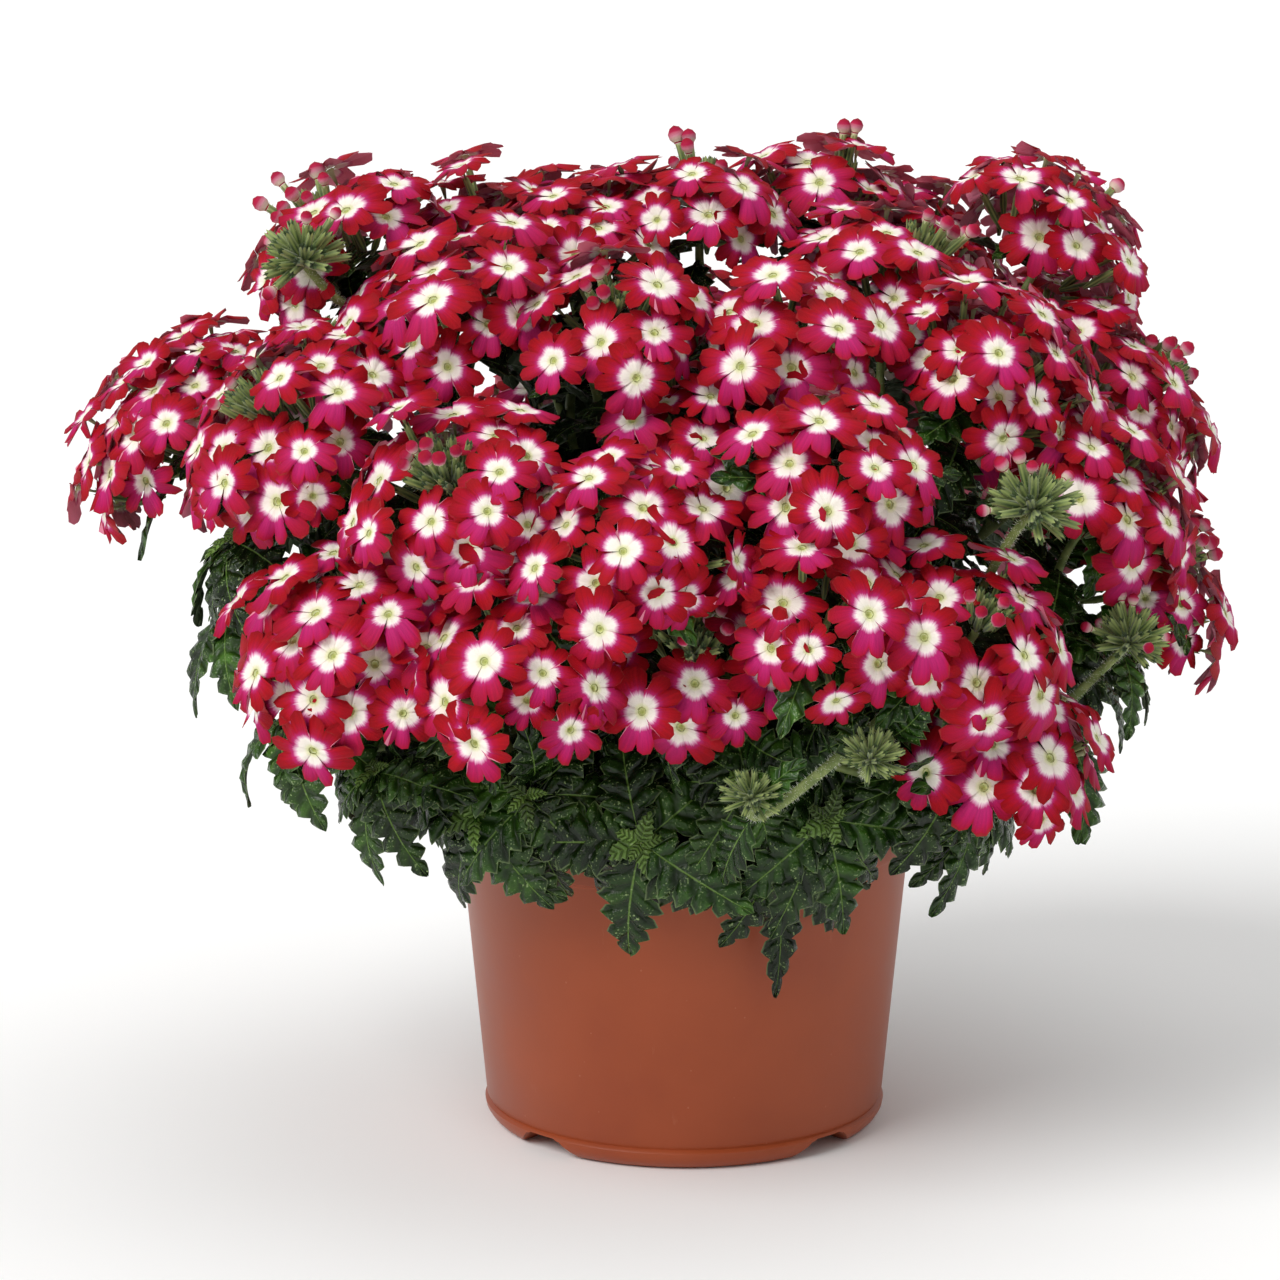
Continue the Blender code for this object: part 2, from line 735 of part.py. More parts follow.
def fuse(name, holder, parts, material):
    """One closed body from everything in a stem's collection."""
    pieces = list(holder.objects)
    trunk = next(piece for piece in pieces if piece.name.startswith("trunk"))
    holder.objects.unlink(trunk)
    parts.objects.link(trunk)
    if holder.objects:
        apply_boolean(trunk, "UNION", holder)
    empty_collection(holder)
    trunk.name = name
    trunk.data.name = name
    trunk.data.materials.clear()
    trunk.data.materials.append(material)
    return trunk


def centre_footprint(parts):
    """Puts the middle of the whole plant's footprint at the origin."""
    points = [vertex.co for obj in parts.objects for vertex in obj.data.vertices]
    middle_x = (min(p.x for p in points) + max(p.x for p in points)) / 2
    middle_y = (min(p.y for p in points) + max(p.y for p in points)) / 2
    for obj in parts.objects:
        obj.data.transform(Matrix.Translation((-middle_x, -middle_y, 0)))


def main():
    clear_scene()
    parts = new_collection("Verbena")
    cutters = new_collection("Cutters", hidden=True)
    petal = new_material("petal", PETAL_RED, 0.55)
    leaf = new_material("leaf", LEAF_GREEN, 0.5)
    terracotta = new_material("terracotta plastic", POT_TERRACOTTA, 0.45)
    peat = new_material("peat", SOIL_BROWN, 0.95)

    places = all_head_places()
    radii = [head_radius(places, i) for i in range(len(places))]
    pairs = pair_up(places)
    holders = [new_collection(f"Stem {k}", hidden=True) for k in range(len(pairs))]

    heads = [
        build_head(f"flower_head_{i + 1:02d}", parts, place, radii[i], petal)
        for i, place in enumerate(places)
    ]
    pot = build_pot(parts, cutters, terracotta)
    shared = [tree_of(obj.data) for obj in [pot, *heads]]
    trunks, tips = lay_stems(places, radii, pairs, holders, shared)
    soil = build_soil(parts, cutters, peat, [trunk.points[0] for trunk in trunks])

    shared.append(tree_of(soil.data))
    trees_by_stem = [[tree_of(obj.data) for obj in holder.objects] for holder in holders]
    dress_tips(tips, holders, trees_by_stem, shared)
    dress_stems(trunks, holders, trees_by_stem, shared)
    for k, holder in enumerate(holders):
        fuse(f"leafy_stem_{k + 1:02d}", holder, parts, leaf)
    centre_footprint(parts)


main()
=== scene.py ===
import json
import random
from functools import partial
from math import copysign, cos, pi, radians, sin, sqrt

import bmesh
import bpy
from mathutils import Matrix, Vector, noise
from mathutils.kdtree import KDTree

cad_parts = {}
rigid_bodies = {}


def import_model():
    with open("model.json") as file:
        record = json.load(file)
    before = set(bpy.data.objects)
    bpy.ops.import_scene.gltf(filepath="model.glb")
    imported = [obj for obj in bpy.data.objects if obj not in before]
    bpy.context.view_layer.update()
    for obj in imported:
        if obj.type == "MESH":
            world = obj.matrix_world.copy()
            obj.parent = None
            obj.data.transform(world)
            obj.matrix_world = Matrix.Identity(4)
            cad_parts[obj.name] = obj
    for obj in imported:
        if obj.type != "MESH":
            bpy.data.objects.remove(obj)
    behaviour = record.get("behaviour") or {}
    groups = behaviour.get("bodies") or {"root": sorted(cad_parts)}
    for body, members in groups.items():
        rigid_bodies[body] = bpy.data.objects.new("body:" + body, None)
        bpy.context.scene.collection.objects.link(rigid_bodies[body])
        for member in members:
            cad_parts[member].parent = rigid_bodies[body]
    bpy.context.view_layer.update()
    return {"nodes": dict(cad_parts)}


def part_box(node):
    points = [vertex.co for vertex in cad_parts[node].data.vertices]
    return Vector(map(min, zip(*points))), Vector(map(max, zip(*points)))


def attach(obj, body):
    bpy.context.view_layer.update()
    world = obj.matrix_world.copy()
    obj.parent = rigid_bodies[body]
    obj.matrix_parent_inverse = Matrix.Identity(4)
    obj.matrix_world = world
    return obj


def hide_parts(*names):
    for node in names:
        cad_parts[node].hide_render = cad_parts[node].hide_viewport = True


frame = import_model()
scene = bpy.context.scene

# Places below are in metres from the pot's axis, as in the frame; world places add potAxis.
potLow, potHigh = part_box("pot")
potAxis = Vector(((potLow.x + potHigh.x) / 2, (potLow.y + potHigh.y) / 2, 0))
goldenAngle = pi * (3 - sqrt(5))
upwards = Vector((0, 0, 1))


def linearColour(text):  # sRGB hex to the linear values that shaders take
    parts = [int(text[i:i + 2], 16) / 255 for i in (1, 3, 5)]
    return (*[c / 12.92 if c <= 0.04045 else ((c + 0.055) / 1.055) ** 2.4 for c in parts], 1.0)


nodeFamilies = ("GeometryNode", "FunctionNode", "ShaderNode", "Node")
nodeModes = {"Math": "operation", "VectorMath": "operation", "MapRange": "interpolation_type"}


def addNode(tree, kind, *inputs, stops=(), **settings):
    # The kind may end in a mode, its data type unless nodeModes says otherwise. Inputs go to the
    # sockets in use, in order, or to one with a capitalised name; each is a value, a colour in hex,
    # or a socket or node to link from. The other settings are the node's own.
    kind, _, mode = kind.partition(" ")
    family = next(family for family in nodeFamilies if hasattr(bpy.types, family + kind))
    node = tree.nodes.new(family + kind)
    if mode:
        setattr(node, nodeModes.get(kind, "data_type"), mode)
    for name in [name for name in settings if name[0].islower()]:
        setattr(node, name, settings.pop(name))
    for k, (place, colour) in enumerate(stops):
        elements = node.color_ramp.elements
        element = elements[k] if k < 2 else elements.new(place)
        element.position, element.color = place, linearColour(colour)
    used = [socket for socket in node.inputs if socket.enabled]
    for socket, value in [*zip(used, inputs), *((node.inputs[name], settings[name]) for name in settings)]:
        if isinstance(value, bpy.types.Node):
            value = next(output for output in value.outputs if output.enabled)
        if isinstance(value, bpy.types.NodeSocket):
            tree.links.new(value, socket)
        else:
            socket.default_value = linearColour(value) if str(value).startswith("#") else value
    return node


def newMaterial(name, paint):  # paint adds the nodes and gives the shader
    material = bpy.data.materials.new(name)
    material.use_nodes = True
    material.node_tree.nodes.clear()
    add = partial(addNode, material.node_tree)
    add("OutputMaterial", paint(add))
    return material


def newTree(name, sockets):
    tree = bpy.data.node_groups.new(name, "GeometryNodeTree")
    for label, kind, value in [("Geometry", "Geometry", None), *sockets]:
        socket = tree.interface.new_socket(label, in_out="INPUT", socket_type="NodeSocket" + kind)
        if value is not None:
            socket.default_value = value
    tree.interface.new_socket("Geometry", in_out="OUTPUT", socket_type="NodeSocketGeometry")
    add = partial(addNode, tree)
    return tree, add, add("GroupInput").outputs


def newObject(name, data, collection=None):
    obj = bpy.data.objects.new(name, data)
    (collection or scene.collection).objects.link(obj)
    return obj


def settled(obj):  # what the modifiers make of the object becomes its plain mesh
    bpy.context.view_layer.update()
    graph = bpy.context.evaluated_depsgraph_get()
    mesh = bpy.data.meshes.new_from_object(obj.evaluated_get(graph))
    obj.modifiers.clear()
    obj.data = mesh
    return obj


def grown(name, base, tree, values):  # what the tree makes of the base mesh
    obj = newObject(name, base)
    modifier = obj.modifiers.new("Grow", "NODES")
    modifier.node_group = tree
    for item in tree.interface.items_tree:
        if item.item_type == "SOCKET" and item.in_out == "INPUT" and item.name in values:
            modifier[item.identifier] = values[item.name]
    return settled(obj)


def newSpot(draw, place, facing, size, kinds, tint=None):
    # A point for a shape: how it is turned, sized and tinted, and which of its kinds it is.
    tint = draw.random() if tint is None else tint
    first, count = kinds
    return {"place": place, "turn": facing.to_euler(), "tint": tint, "size": size,
            "kind": first + draw.randrange(count)}


def growShapes(kit, which, name, spots):
    mesh = bpy.data.meshes.new(name)
    mesh.from_pydata([spot["place"] for spot in spots], [], [])
    for key, kind in (("turn", "FLOAT_VECTOR"), ("size", "FLOAT_VECTOR"), ("kind", "INT"),
                      ("tint", "FLOAT"), ("young", "FLOAT")):
        attribute = mesh.attributes.new(key, kind, "POINT")
        if kind == "FLOAT_VECTOR":
            attribute.data.foreach_set("vector", [part for spot in spots for part in spot[key]])
        else:
            attribute.data.foreach_set("value", [spot.get(key, 0) for spot in spots])
    shapes, finish = kit[which]
    return grown(name, mesh, kit["spotTree"], {"Shapes": shapes, "Finish": finish})


def joined(name, objects):
    objects = [obj for obj in objects if len(obj.data.polygons)]
    with bpy.context.temp_override(active_object=objects[0], selected_editable_objects=objects):
        bpy.ops.object.join()
    objects[0].name = name
    return objects[0]


def placePiece(piece, node):  # from the pot's axis to the frame, in place of its CAD node
    piece.data.transform(Matrix.Translation(potAxis))
    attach(piece, "root")
    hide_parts(node)


def newShape():  # a mesh to build, and its map
    bm = bmesh.new()
    return bm, bm.loops.layers.uv.new("shapeMap")


def shapeObject(bm, name, collection=None):
    mesh = bpy.data.meshes.new(name)
    bm.to_mesh(mesh)
    bm.free()
    return newObject(name, mesh, collection)


def onCircle(angle, radius=1.0, height=0.0):
    return Vector((radius * cos(angle), radius * sin(angle), height))


# Materials

def verbenaPetal(add):
    # Living petal, velvety with papilla cells that trap the light: a cream eye with a greenish
    # throat, a magenta ring that feathers out of it, then red. Lower petals are painted magenta further out:
    # a painted sheen of the velvet where they face down and out.
    # The map's second coordinate runs -1..0 along the tube, 0..1 across the petal, 1..2 up a bud.
    parts = add("SeparateXYZ", add("UVMap", uv_map="shapeMap")).outputs
    tint, low, under = [add("Attribute", attribute_name=name).outputs["Fac"]
                        for name in ("tint", "low", "under")]
    across, outwards = add("Math MULTIPLY", parts[0], 34.0), add("Math MULTIPLY", parts[1], 3.0)
    streaks = add("TexNoise", add("CombineXYZ", across, outwards, add("Math MULTIPLY", tint, 50.0)), 0.5, 3.0)
    middle = add("Math SUBTRACT", parts[0], 0.5)
    bowed = add("Math MULTIPLY_ADD", add("Math MULTIPLY", middle, middle), 0.32, -0.03)
    edge = parts[1]
    for shift in (add("Math MULTIPLY_ADD", streaks, 0.16, -0.08), bowed,
                  add("Math MULTIPLY_ADD", tint, 0.10, -0.05)):
        edge = add("Math ADD", edge, shift)
    edge = add("Math MINIMUM", edge, 0.995)
    onPetal = add("MapRange", parts[1], 0.20, 0.34)
    offBud = add("MapRange", parts[1], 1.001, 1.002, 1.0, 0.0)
    place = add("Mix", add("Math MULTIPLY", onPetal, offBud), parts[1], edge)
    share = add("Math MULTIPLY_ADD", place, 1 / 3, 1 / 3)
    # The throat is greenish of its own and darkest at its middle, painted shade of the deep tube below it.
    tube = [(0.0, "#b5c178"), (0.31, "#d8dcae"), (0.336, "#a0a65a"), (0.352, "#cdd08a"),
            (0.378, "#e0dfb4"), (0.400, "#efe8da"), (0.440, "#f6ece4")]
    bud = [(0.6668, "#8c0a14"), (0.68, "#dfd2ba"), (0.76, "#d08a9c"), (0.86, "#ad2048"), (1.0, "#970f24")]
    upper, lower = [add("ValToRGB", share, stops=tube + ring + bud) for ring in (
        [(0.460, "#dfa3c0"), (0.480, "#b52a6c"), (0.514, "#aa1138"), (0.575, "#a20c1b")],
        [(0.462, "#dfa3c0"), (0.484, "#b8296f"), (0.590, "#b01a58"), (0.660, "#a81132")])]
    # The magenta reaches further on the lower petals, a painted sheen, and further or less far by a random
    # share from floret to floret.
    spread = add("Math MULTIPLY_ADD", tint, 0.5, low)
    colour = add("Mix RGBA", add("MapRange SMOOTHSTEP", spread, 0.88, 1.34), upper, lower)
    # The seam between two petals shows as a thin grey line in the eye.
    seam = add("MapRange SMOOTHSTEP", add("Math ABSOLUTE", middle), 0.475, 0.5, 0.0, 0.14)
    colour = add("Mix RGBA", add("Math MULTIPLY", seam, onPetal), colour, "#6d2a33")
    # Fine veins run out along the petal, a shade deeper.
    veins = add("MapRange", streaks, 0.35, 0.65, 0.86, 1.10)
    veins = add("Mix", add("MapRange", place, 0.36, 0.50), 1.0, veins)
    colour = add("VectorMath SCALE", colour, veins)
    # Undersides are a washed-out pink of their own, painted paler still: painted light that stands in for the
    # light shining through the thin petal.
    back = add("Math MULTIPLY", add("MapRange", parts[1], 0.40, 0.55), under)
    colour = add("Mix RGBA", add("Math MULTIPLY", back, 0.90), colour, "#e88ea6")
    cells = add("TexNoise", add("TexCoord").outputs["Object"], 2600.0, 1.0)
    relief = add("Bump", Strength=0.35, Distance=0.0003,
                 Height=add("Math MULTIPLY_ADD", streaks, 2.0, cells))
    return add("BsdfPrincipled", colour, Roughness=0.6, Normal=relief, **{"Specular IOR Level": 0.10})


def verbenaLeaf(add):
    # Living leaf, wrinkled: the blade bulges between sunken veins, with painted shade in the hollows, and has
    # a waxy gloss, so it glints in small spots, with painted glints besides; the underside is grey-green with
    # raised pale veins.
    parts = add("SeparateXYZ", add("UVMap", uv_map="shapeMap")).outputs
    young, under, tint = [add("Attribute", attribute_name=name).outputs["Fac"]
                          for name in ("young", "under", "tint")]
    side = add("Math ABSOLUTE", add("Math SUBTRACT", parts[0], 0.5))
    # Side veins leave the rib one tooth lower than the tooth tip that they end in.
    teethAlong = leafShape["teeth"] / (1 - leafShape["stalk"])
    climb = add("Math MULTIPLY_ADD", parts[1], teethAlong, veinPhase(0, 0))
    climb = add("Math FRACT", add("Math MULTIPLY_ADD", side, -2.0, climb))
    phase = add("Math ABSOLUTE", add("Math SUBTRACT", climb, 0.5))
    sideVein = add("MapRange SMOOTHSTEP", phase, 0.0, 0.13, 1.0, 0.0)
    rib = add("MapRange SMOOTHSTEP", side, 0.006, 0.024, 1.0, 0.0)
    vein = add("Math MAXIMUM", add("Math MULTIPLY", sideVein, 0.55), rib)
    # Blisters of 1 to 2 mm stand between the veins.
    grain = add("TexCoord").outputs["Object"]
    pillow = add("MapRange SMOOTHSTEP", phase, 0.0, 0.34)
    bulge = add("Math MULTIPLY", add("TexNoise", grain, 430.0, 3.0), pillow)
    top = add("ValToRGB", add("TexNoise", grain, 120.0, 2.0),
              stops=[(0.30, "#13240a"), (0.52, "#1e380d"), (0.72, "#305014")])
    top = add("Mix RGBA", young, top, "#64803a")
    # The tint gives each leaf a random tone and, for the leaves inside the plant, painted shade as well.
    top = add("VectorMath SCALE", top, add("MapRange", tint, 0.0, 1.0, 0.38, 1.95))
    # Painted shade and highlight: darker in the hollows and along the sunken side veins, lighter on the
    # blisters' tops.
    top = add("VectorMath SCALE", top, add("MapRange", bulge, 0.05, 0.60, 0.55, 1.35))
    top = add("Mix RGBA", add("Math MULTIPLY", rib, 0.75), top, "#6a8a3e")
    # A pale band along the toothed edge for its short hairs and the light they catch, painted in, and painted
    # glints, one by one, on the blisters.
    hairEdgeAndGlint = add("MapRange", side, 0.455, 0.50, 0.0, 0.45)
    paintedGlints = add("MapRange", add("TexNoise", grain, 1500.0, 1.0), 0.60, 0.72, 0.0, 0.9)
    paintedGlints = add("Math MULTIPLY", paintedGlints, add("MapRange", bulge, 0.36, 0.56))
    top = add("Mix RGBA", add("Math MAXIMUM", hairEdgeAndGlint, paintedGlints), top, "#8fa56c")
    colour = add("Mix RGBA", under, top, add("Mix RGBA", vein, "#45543a", "#76836a"))
    relief = add("Bump", Strength=0.8, Distance=0.0013,
                 Height=add("Math MULTIPLY_ADD", rib, -0.12, bulge))
    dull = add("MapRange", under, 0.0, 1.0, 0.26, 0.75)
    return add("BsdfPrincipled", colour, Roughness=dull, Normal=relief, **{"Specular IOR Level": 0.28})


def greenStem(add):
    # Soft young stem, pale green and four-angled, under a coat of short white hairs.
    hair = add("Attribute", attribute_name="hair").outputs["Fac"]
    grain = add("TexCoord").outputs["Object"]
    green = add("ValToRGB", add("TexNoise", grain, 260.0, 3.0),
                stops=[(0.30, "#5d6f36"), (0.55, "#7c8c4c"), (0.75, "#98a566")])
    relief = add("Bump", Strength=0.3, Distance=0.0003, Height=add("TexNoise", grain, 1500.0, 1.0))
    return add("BsdfPrincipled", add("Mix RGBA", hair, green, "#e6ead8"), Roughness=0.6, Normal=relief)


def ribbedCalyx(add):
    # Green calyx, downy: five pale ribs with darker grooves, yellow-green at the teeth.
    parts = add("SeparateXYZ", add("UVMap", uv_map="shapeMap")).outputs
    tint = add("Attribute", attribute_name="tint").outputs["Fac"]
    groove = add("ValToRGB", parts[0], stops=[(0.15, "#3c5526"), (0.85, "#8c9c55")])
    toothed = add("MapRange", parts[1], 0.62, 1.0, 0.0, 0.5)
    colour = add("VectorMath SCALE", add("Mix RGBA", toothed, groove, "#a3b06a"),
                 add("MapRange", tint, 0.0, 1.0, 0.80, 1.12))
    down = add("TexNoise", add("TexCoord").outputs["Object"], 1800.0, 2.0)
    relief = add("Bump", Strength=0.4, Distance=0.0003, Height=down)
    return add("BsdfPrincipled", colour, Roughness=0.6, Normal=relief, **{"Sheen Weight": 0.2})


def terracottaPlastic(add):
    # Polypropylene, injection moulded from a finely spark-eroded tool: even terracotta colour
    # with a satin sheen, a faint cloudiness and a few pale scuffs from handling.
    place = add("TexCoord").outputs["Object"]
    cloud = add("TexNoise", place, 28.0, 4.0)
    base = add("ValToRGB", cloud, stops=[(0.32, "#924122"), (0.5, "#984624"), (0.70, "#9e4a28")])
    stretched = add("Mapping", place, Scale=(1.0, 1.0, 0.22))
    scuff = add("MapRange", add("TexNoise", stretched, 170.0, 5.0, 0.7), 0.66, 0.78, 0.0, 0.30)
    speck = add("MapRange", add("TexVoronoi", place, 150.0), 0.035, 0.05, 0.25, 0.0)
    colour = add("Mix RGBA", add("Math MAXIMUM", scuff, speck), base, "#c08468")
    # The tool's texture is about 0.1 mm; it is drawn at 0.5 mm, which still shows here.
    relief = add("Bump", Strength=0.10, Distance=0.0002, Height=add("TexNoise", place, 2000.0, 2.0))
    return add("BsdfPrincipled", colour, Roughness=add("MapRange", cloud, 0.3, 0.7, 0.36, 0.46),
               IOR=1.49, Normal=relief, **{"Specular IOR Level": 0.36})


def pottingPeat(add):
    # Peat compost, crumbly and matte: dark brown fibres with paler dry crumbs.
    crumbs = add("TexNoise", add("TexCoord").outputs["Object"], 420.0, 6.0)
    colour = add("ValToRGB", crumbs, stops=[(0.32, "#17100b"), (0.55, "#2e2118"), (0.74, "#5a4432")])
    relief = add("Bump", Strength=0.9, Distance=0.001, Height=crumbs)
    return add("BsdfPrincipled", colour, Roughness=0.95, Normal=relief)


def paleFloor(add):
    # Matt studio board, near white.
    cloud = add("TexNoise", add("TexCoord").outputs["Object"], 3.0, 2.0)
    colour = add("ValToRGB", cloud, stops=[(0.3, "#fbfbfa"), (0.7, "#fdfdfc")])
    return add("BsdfPrincipled", colour, Roughness=0.9)


# Camera, light and floor

studio = {
    "elevation": 13.0,  # of the camera, in degrees above the horizontal, seen from the front
    "distance": 1.5, "sensor": 36.0, "focalPixels": 5445, "imagePixels": 1280, "clipEnd": 50.0,
    "lookAt": Vector((-0.0124, 0.0, 0.1353)), "skyStrength": 0.52, "floorSize": 14.0,
    "suns": [  # name, where it shines from, how wide its disc is in degrees, and its strength
        ("keySun", (-1.00, -0.95, 1.25), 36.0, 2.00),
        ("topSun", (0.25, 0.10, 1.0), 60.0, 0.60),
    ],
}


def setCamera():
    lift = radians(studio["elevation"])
    back = Vector((0, -cos(lift), sin(lift)))
    camera = bpy.data.cameras.new("camera")
    camera.sensor_width = studio["sensor"]
    camera.lens = studio["focalPixels"] / studio["imagePixels"] * camera.sensor_width
    camera.clip_end = studio["clipEnd"]
    obj = newObject("camera", camera)
    obj.location = studio["lookAt"] + potAxis + back * studio["distance"]
    obj.rotation_euler = back.to_track_quat("Z", "Y").to_euler()
    scene.camera = obj


def setStudio():
    world = bpy.data.worlds.new("studio")
    world.use_nodes = True
    sky = world.node_tree.nodes["Background"]
    sky.inputs["Color"].default_value = linearColour("#ffffff")
    sky.inputs["Strength"].default_value = studio["skyStrength"]
    scene.world = world
    for name, place, width, strength in studio["suns"]:
        lamp = bpy.data.lights.new(name, "SUN")
        lamp.angle = radians(width)
        lamp.energy = strength
        obj = newObject(name, lamp)
        obj.location = place
        obj.rotation_euler = Vector(place).to_track_quat("Z", "Y").to_euler()
    bm = bmesh.new()
    bmesh.ops.create_grid(bm, x_segments=1, y_segments=1, size=studio["floorSize"] / 2)
    floor = shapeObject(bm, "floor")
    floor.data.materials.append(newMaterial("pale studio board", paleFloor))
    scene.view_settings.view_transform = "Standard"


# Shapes that repeat: florets, buds, calyxes and leaves, several of each

corollaShape = {
    "radius": 0.0113,  # from the floret's middle to a petal's tip
    "petals": 5, "columns": 10,
    "rows": (0.10, 0.50, 1.0),  # shares of the radius
    "spans": (1.0, 1.04, 0.92),  # how much of its fifth of the circle a petal fills there
    "notch": 0.26,  # between a petal's two lobes, and between it and the next petal
    "cleft": 0.45,
    "overlap": 0.10,  # each petal is tilted, one side over the petal before it
    "crease": 0.035, "thickness": 0.00022, "tubeLength": 0.0085,
    "throat": ((-0.0010, 0.00085, -0.05), (-0.0008, 0.0012995, 0.09), (-0.0020, 0, 0.0)),
    "lobesFrom": 0.46,  # the petal is whole up to this share of the radius
    "bendsFrom": 0.30, "throatDip": 0.0016, "bulge": 0.0006,
    "draws": {"length": (0.88, 1.07), "swing": (-0.12, 0.12), "dip": None, "curl": (-0.10, 0.90),
              "twist": (-0.6, 0.6), "droop": (0.0, 0.45), "ripple": (0.04, 0.10), "phase": (0, 6)},
    "dips": ((-0.12, 0.26), (-1.0, 0.2)),  # radians that petals bend down, of open and fading florets
    "sizes": (1.0, 0.84),
    "open": 12,  # shapes with open petals; the last of them is past its best and closing
    "young": 4,  # shapes that are closed buds on a pale tube
    "budSize": 0.0019, "budSizes": (0.80, 1.12), "budDepth": (0.0015, 0.0045),
    "budRows": ((-1.0, 0.55, 1.02), (-0.5, 0.92, 1.15), (0.15, 1.0, 1.5), (0.75, 0.62, 1.85), (1.05, 0, 2.0)),
}
openKinds = (0, corollaShape["open"])
youngKinds = (corollaShape["open"], corollaShape["young"])


def petalAcross(column):  # columns close up at the sides of both lobes, which rounds them
    half = 2 * column / corollaShape["columns"] - 1
    return copysign((1 - cos(pi * abs(half))) / 2, half)


def petalPoint(draws, angle, row, across):  # one point of a petal's upper face
    radius = corollaShape["radius"]
    r = corollaShape["rows"][row]
    lobe = sqrt(max(0.0, 1 - (2 * abs(across) - 1) ** 2))  # two rounded lobes side by side
    depth = corollaShape["notch"] if abs(across) < 0.5 else corollaShape["cleft"]
    rim = max(0.0, (r - corollaShape["lobesFrom"]) / (1 - corollaShape["lobesFrom"])) ** 1.6
    along = radius * draws["length"] * (r - depth * (1 - lobe) * rim)
    turn = across * pi / corollaShape["petals"] * corollaShape["spans"][row]
    x, y = along * cos(turn), along * sin(turn)
    past = max(0.0, x - corollaShape["bendsFrom"] * radius)
    share = past / radius
    z = corollaShape["bulge"] * sin(pi * min(1.0, r / 0.7)) - corollaShape["throatDip"] * (1 - r) ** 5
    z += corollaShape["overlap"] * y
    z -= draws["curl"] * y * y / radius + draws["droop"] * share * share * radius
    z -= corollaShape["crease"] * radius * r * max(0.0, 1 - abs(across) / 0.4)
    z += draws["ripple"] * sin(1.6 * pi * across + draws["phase"]) * r * r * radius
    x = x - past + past * cos(draws["dip"])
    z -= past * sin(draws["dip"])
    point = Vector((x, y, z))
    point.rotate(Matrix.Rotation(draws["twist"] * share, 3, "X"))
    return Matrix.Rotation(angle + draws["swing"] * r * r, 3, "Z") @ point


def bridge(bm, rings):
    # Smooth faces from ring to ring, where a ring of one closes the end. With each face come the
    # ring and the side that each of its corners is on.
    made = []
    for low in range(len(rings) - 1):
        for k in range(max(len(rings[low]), len(rings[low + 1]))):
            cells = [(low, k), (low, k + 1), (low + 1, k + 1), (low + 1, k)]
            corners = [rings[i][side % len(rings[i])] for i, side in cells]
            kept = [n for n in range(4) if corners.index(corners[n]) == n]
            face = bm.faces.new([corners[n] for n in kept])
            face.smooth = True
            made.append((face, [cells[n] for n in kept]))
    return made


def addTube(bm, layer, sides, rows, shade=None, lobes=0.0):
    # A turned skin from (height, radius, map value) rows, its ends closed where the radius is 0.
    rings = []
    for height, radius, _ in rows:
        points = [onCircle(2 * pi * k / sides, radius * (1 + lobes * (1 if k % 2 else -1)), height)
                  for k in range(sides if radius else 1)]
        rings.append([bm.verts.new(point) for point in points])
    for face, cells in bridge(bm, rings):
        for loop, (row, side) in zip(face.loops, cells if layer else ()):
            loop[layer].uv = (shade(side) if shade else 0.5, rows[row][2])
    return rings


def addSheet(bm, layer, under, counts, pointAt, uvOf, strips=True):
    # A thin blade of rows and columns. pointAt gives a point of the upper face and the step from
    # it to the lower face, or None where the two share it; the edge stays sharp between them.
    # Without strips the lower face runs from the first row to the last in one go.
    top, bottom = [], []
    for i in range(counts[0]):
        top.append([])
        bottom.append([])
        for j in range(counts[1]):
            point, drop = pointAt(i, j)
            top[i].append(bm.verts.new(point))
            bottom[i].append(top[i][j] if drop is None else bm.verts.new(point + drop))
    last, lastColumn = counts[0] - 1, counts[1] - 2
    for grid, below in ((top, False), (bottom, True)):
        rows = [(i, i + 1) for i in range(last)] if strips or not below else [(0, last)]
        for low, high in rows:
            for j in range(lastColumn + 1):
                cells = [(low, j), (high, j), (high, j + 1), (low, j + 1)]
                if below:  # both faces split along the same diagonal
                    cells = [cells[0], cells[3], cells[2], cells[1]]
                    between = range(high - 1, low, -1)
                    if j == 0:
                        cells += [(i, j) for i in between]
                    if j == lastColumn:
                        cells[2:2] = [(i, j + 1) for i in reversed(between)]
                face = bm.faces.new([grid[a][b] for a, b in cells])
                face.smooth = True
                face[under] = 1.0 if below else 0.0
                for loop, cell in zip(face.loops, cells):
                    loop[layer].uv = uvOf(*cell)
    for edge in bm.edges:
        if len(edge.link_faces) == 2 and edge.link_faces[0][under] != edge.link_faces[1][under]:
            edge.smooth = False
    return [vertex for row in top + bottom for vertex in row]


def corolla(name, draw, fading, collection):
    bm, layer = newShape()
    under = bm.faces.layers.float.new("under")
    low = bm.verts.layers.float.new("low")
    columns, rows, size = corollaShape["columns"], corollaShape["rows"], corollaShape["sizes"][fading]
    spans = {**corollaShape["draws"], "dip": corollaShape["dips"][fading]}
    for k in range(corollaShape["petals"]):
        angle = -pi / 2 + 2 * pi * k / corollaShape["petals"]
        draws = {key: draw.uniform(*span) for key, span in spans.items()}
        draws["length"] *= size

        def pointAt(i, j):
            inside = fading and 0 < i < len(rows) - 1 and 0 < j < columns
            drop = -corollaShape["thickness"] * upwards if inside else None
            return petalPoint(draws, angle, i, petalAcross(j)), drop

        for vertex in addSheet(bm, layer, under, (len(rows), columns + 1), pointAt,
                               lambda i, j: ((petalAcross(j) + 1) / 2, rows[i]), fading):
            # How low the petal sits in its floret; the petal finish paints the lower petals more magenta, a
            # painted sheen.
            vertex[low] = (1 - sin(angle)) / 2
    addTube(bm, layer, 6, [(-corollaShape["tubeLength"], 0, -1.0), *corollaShape["throat"]])
    shapeObject(bm, name, collection)


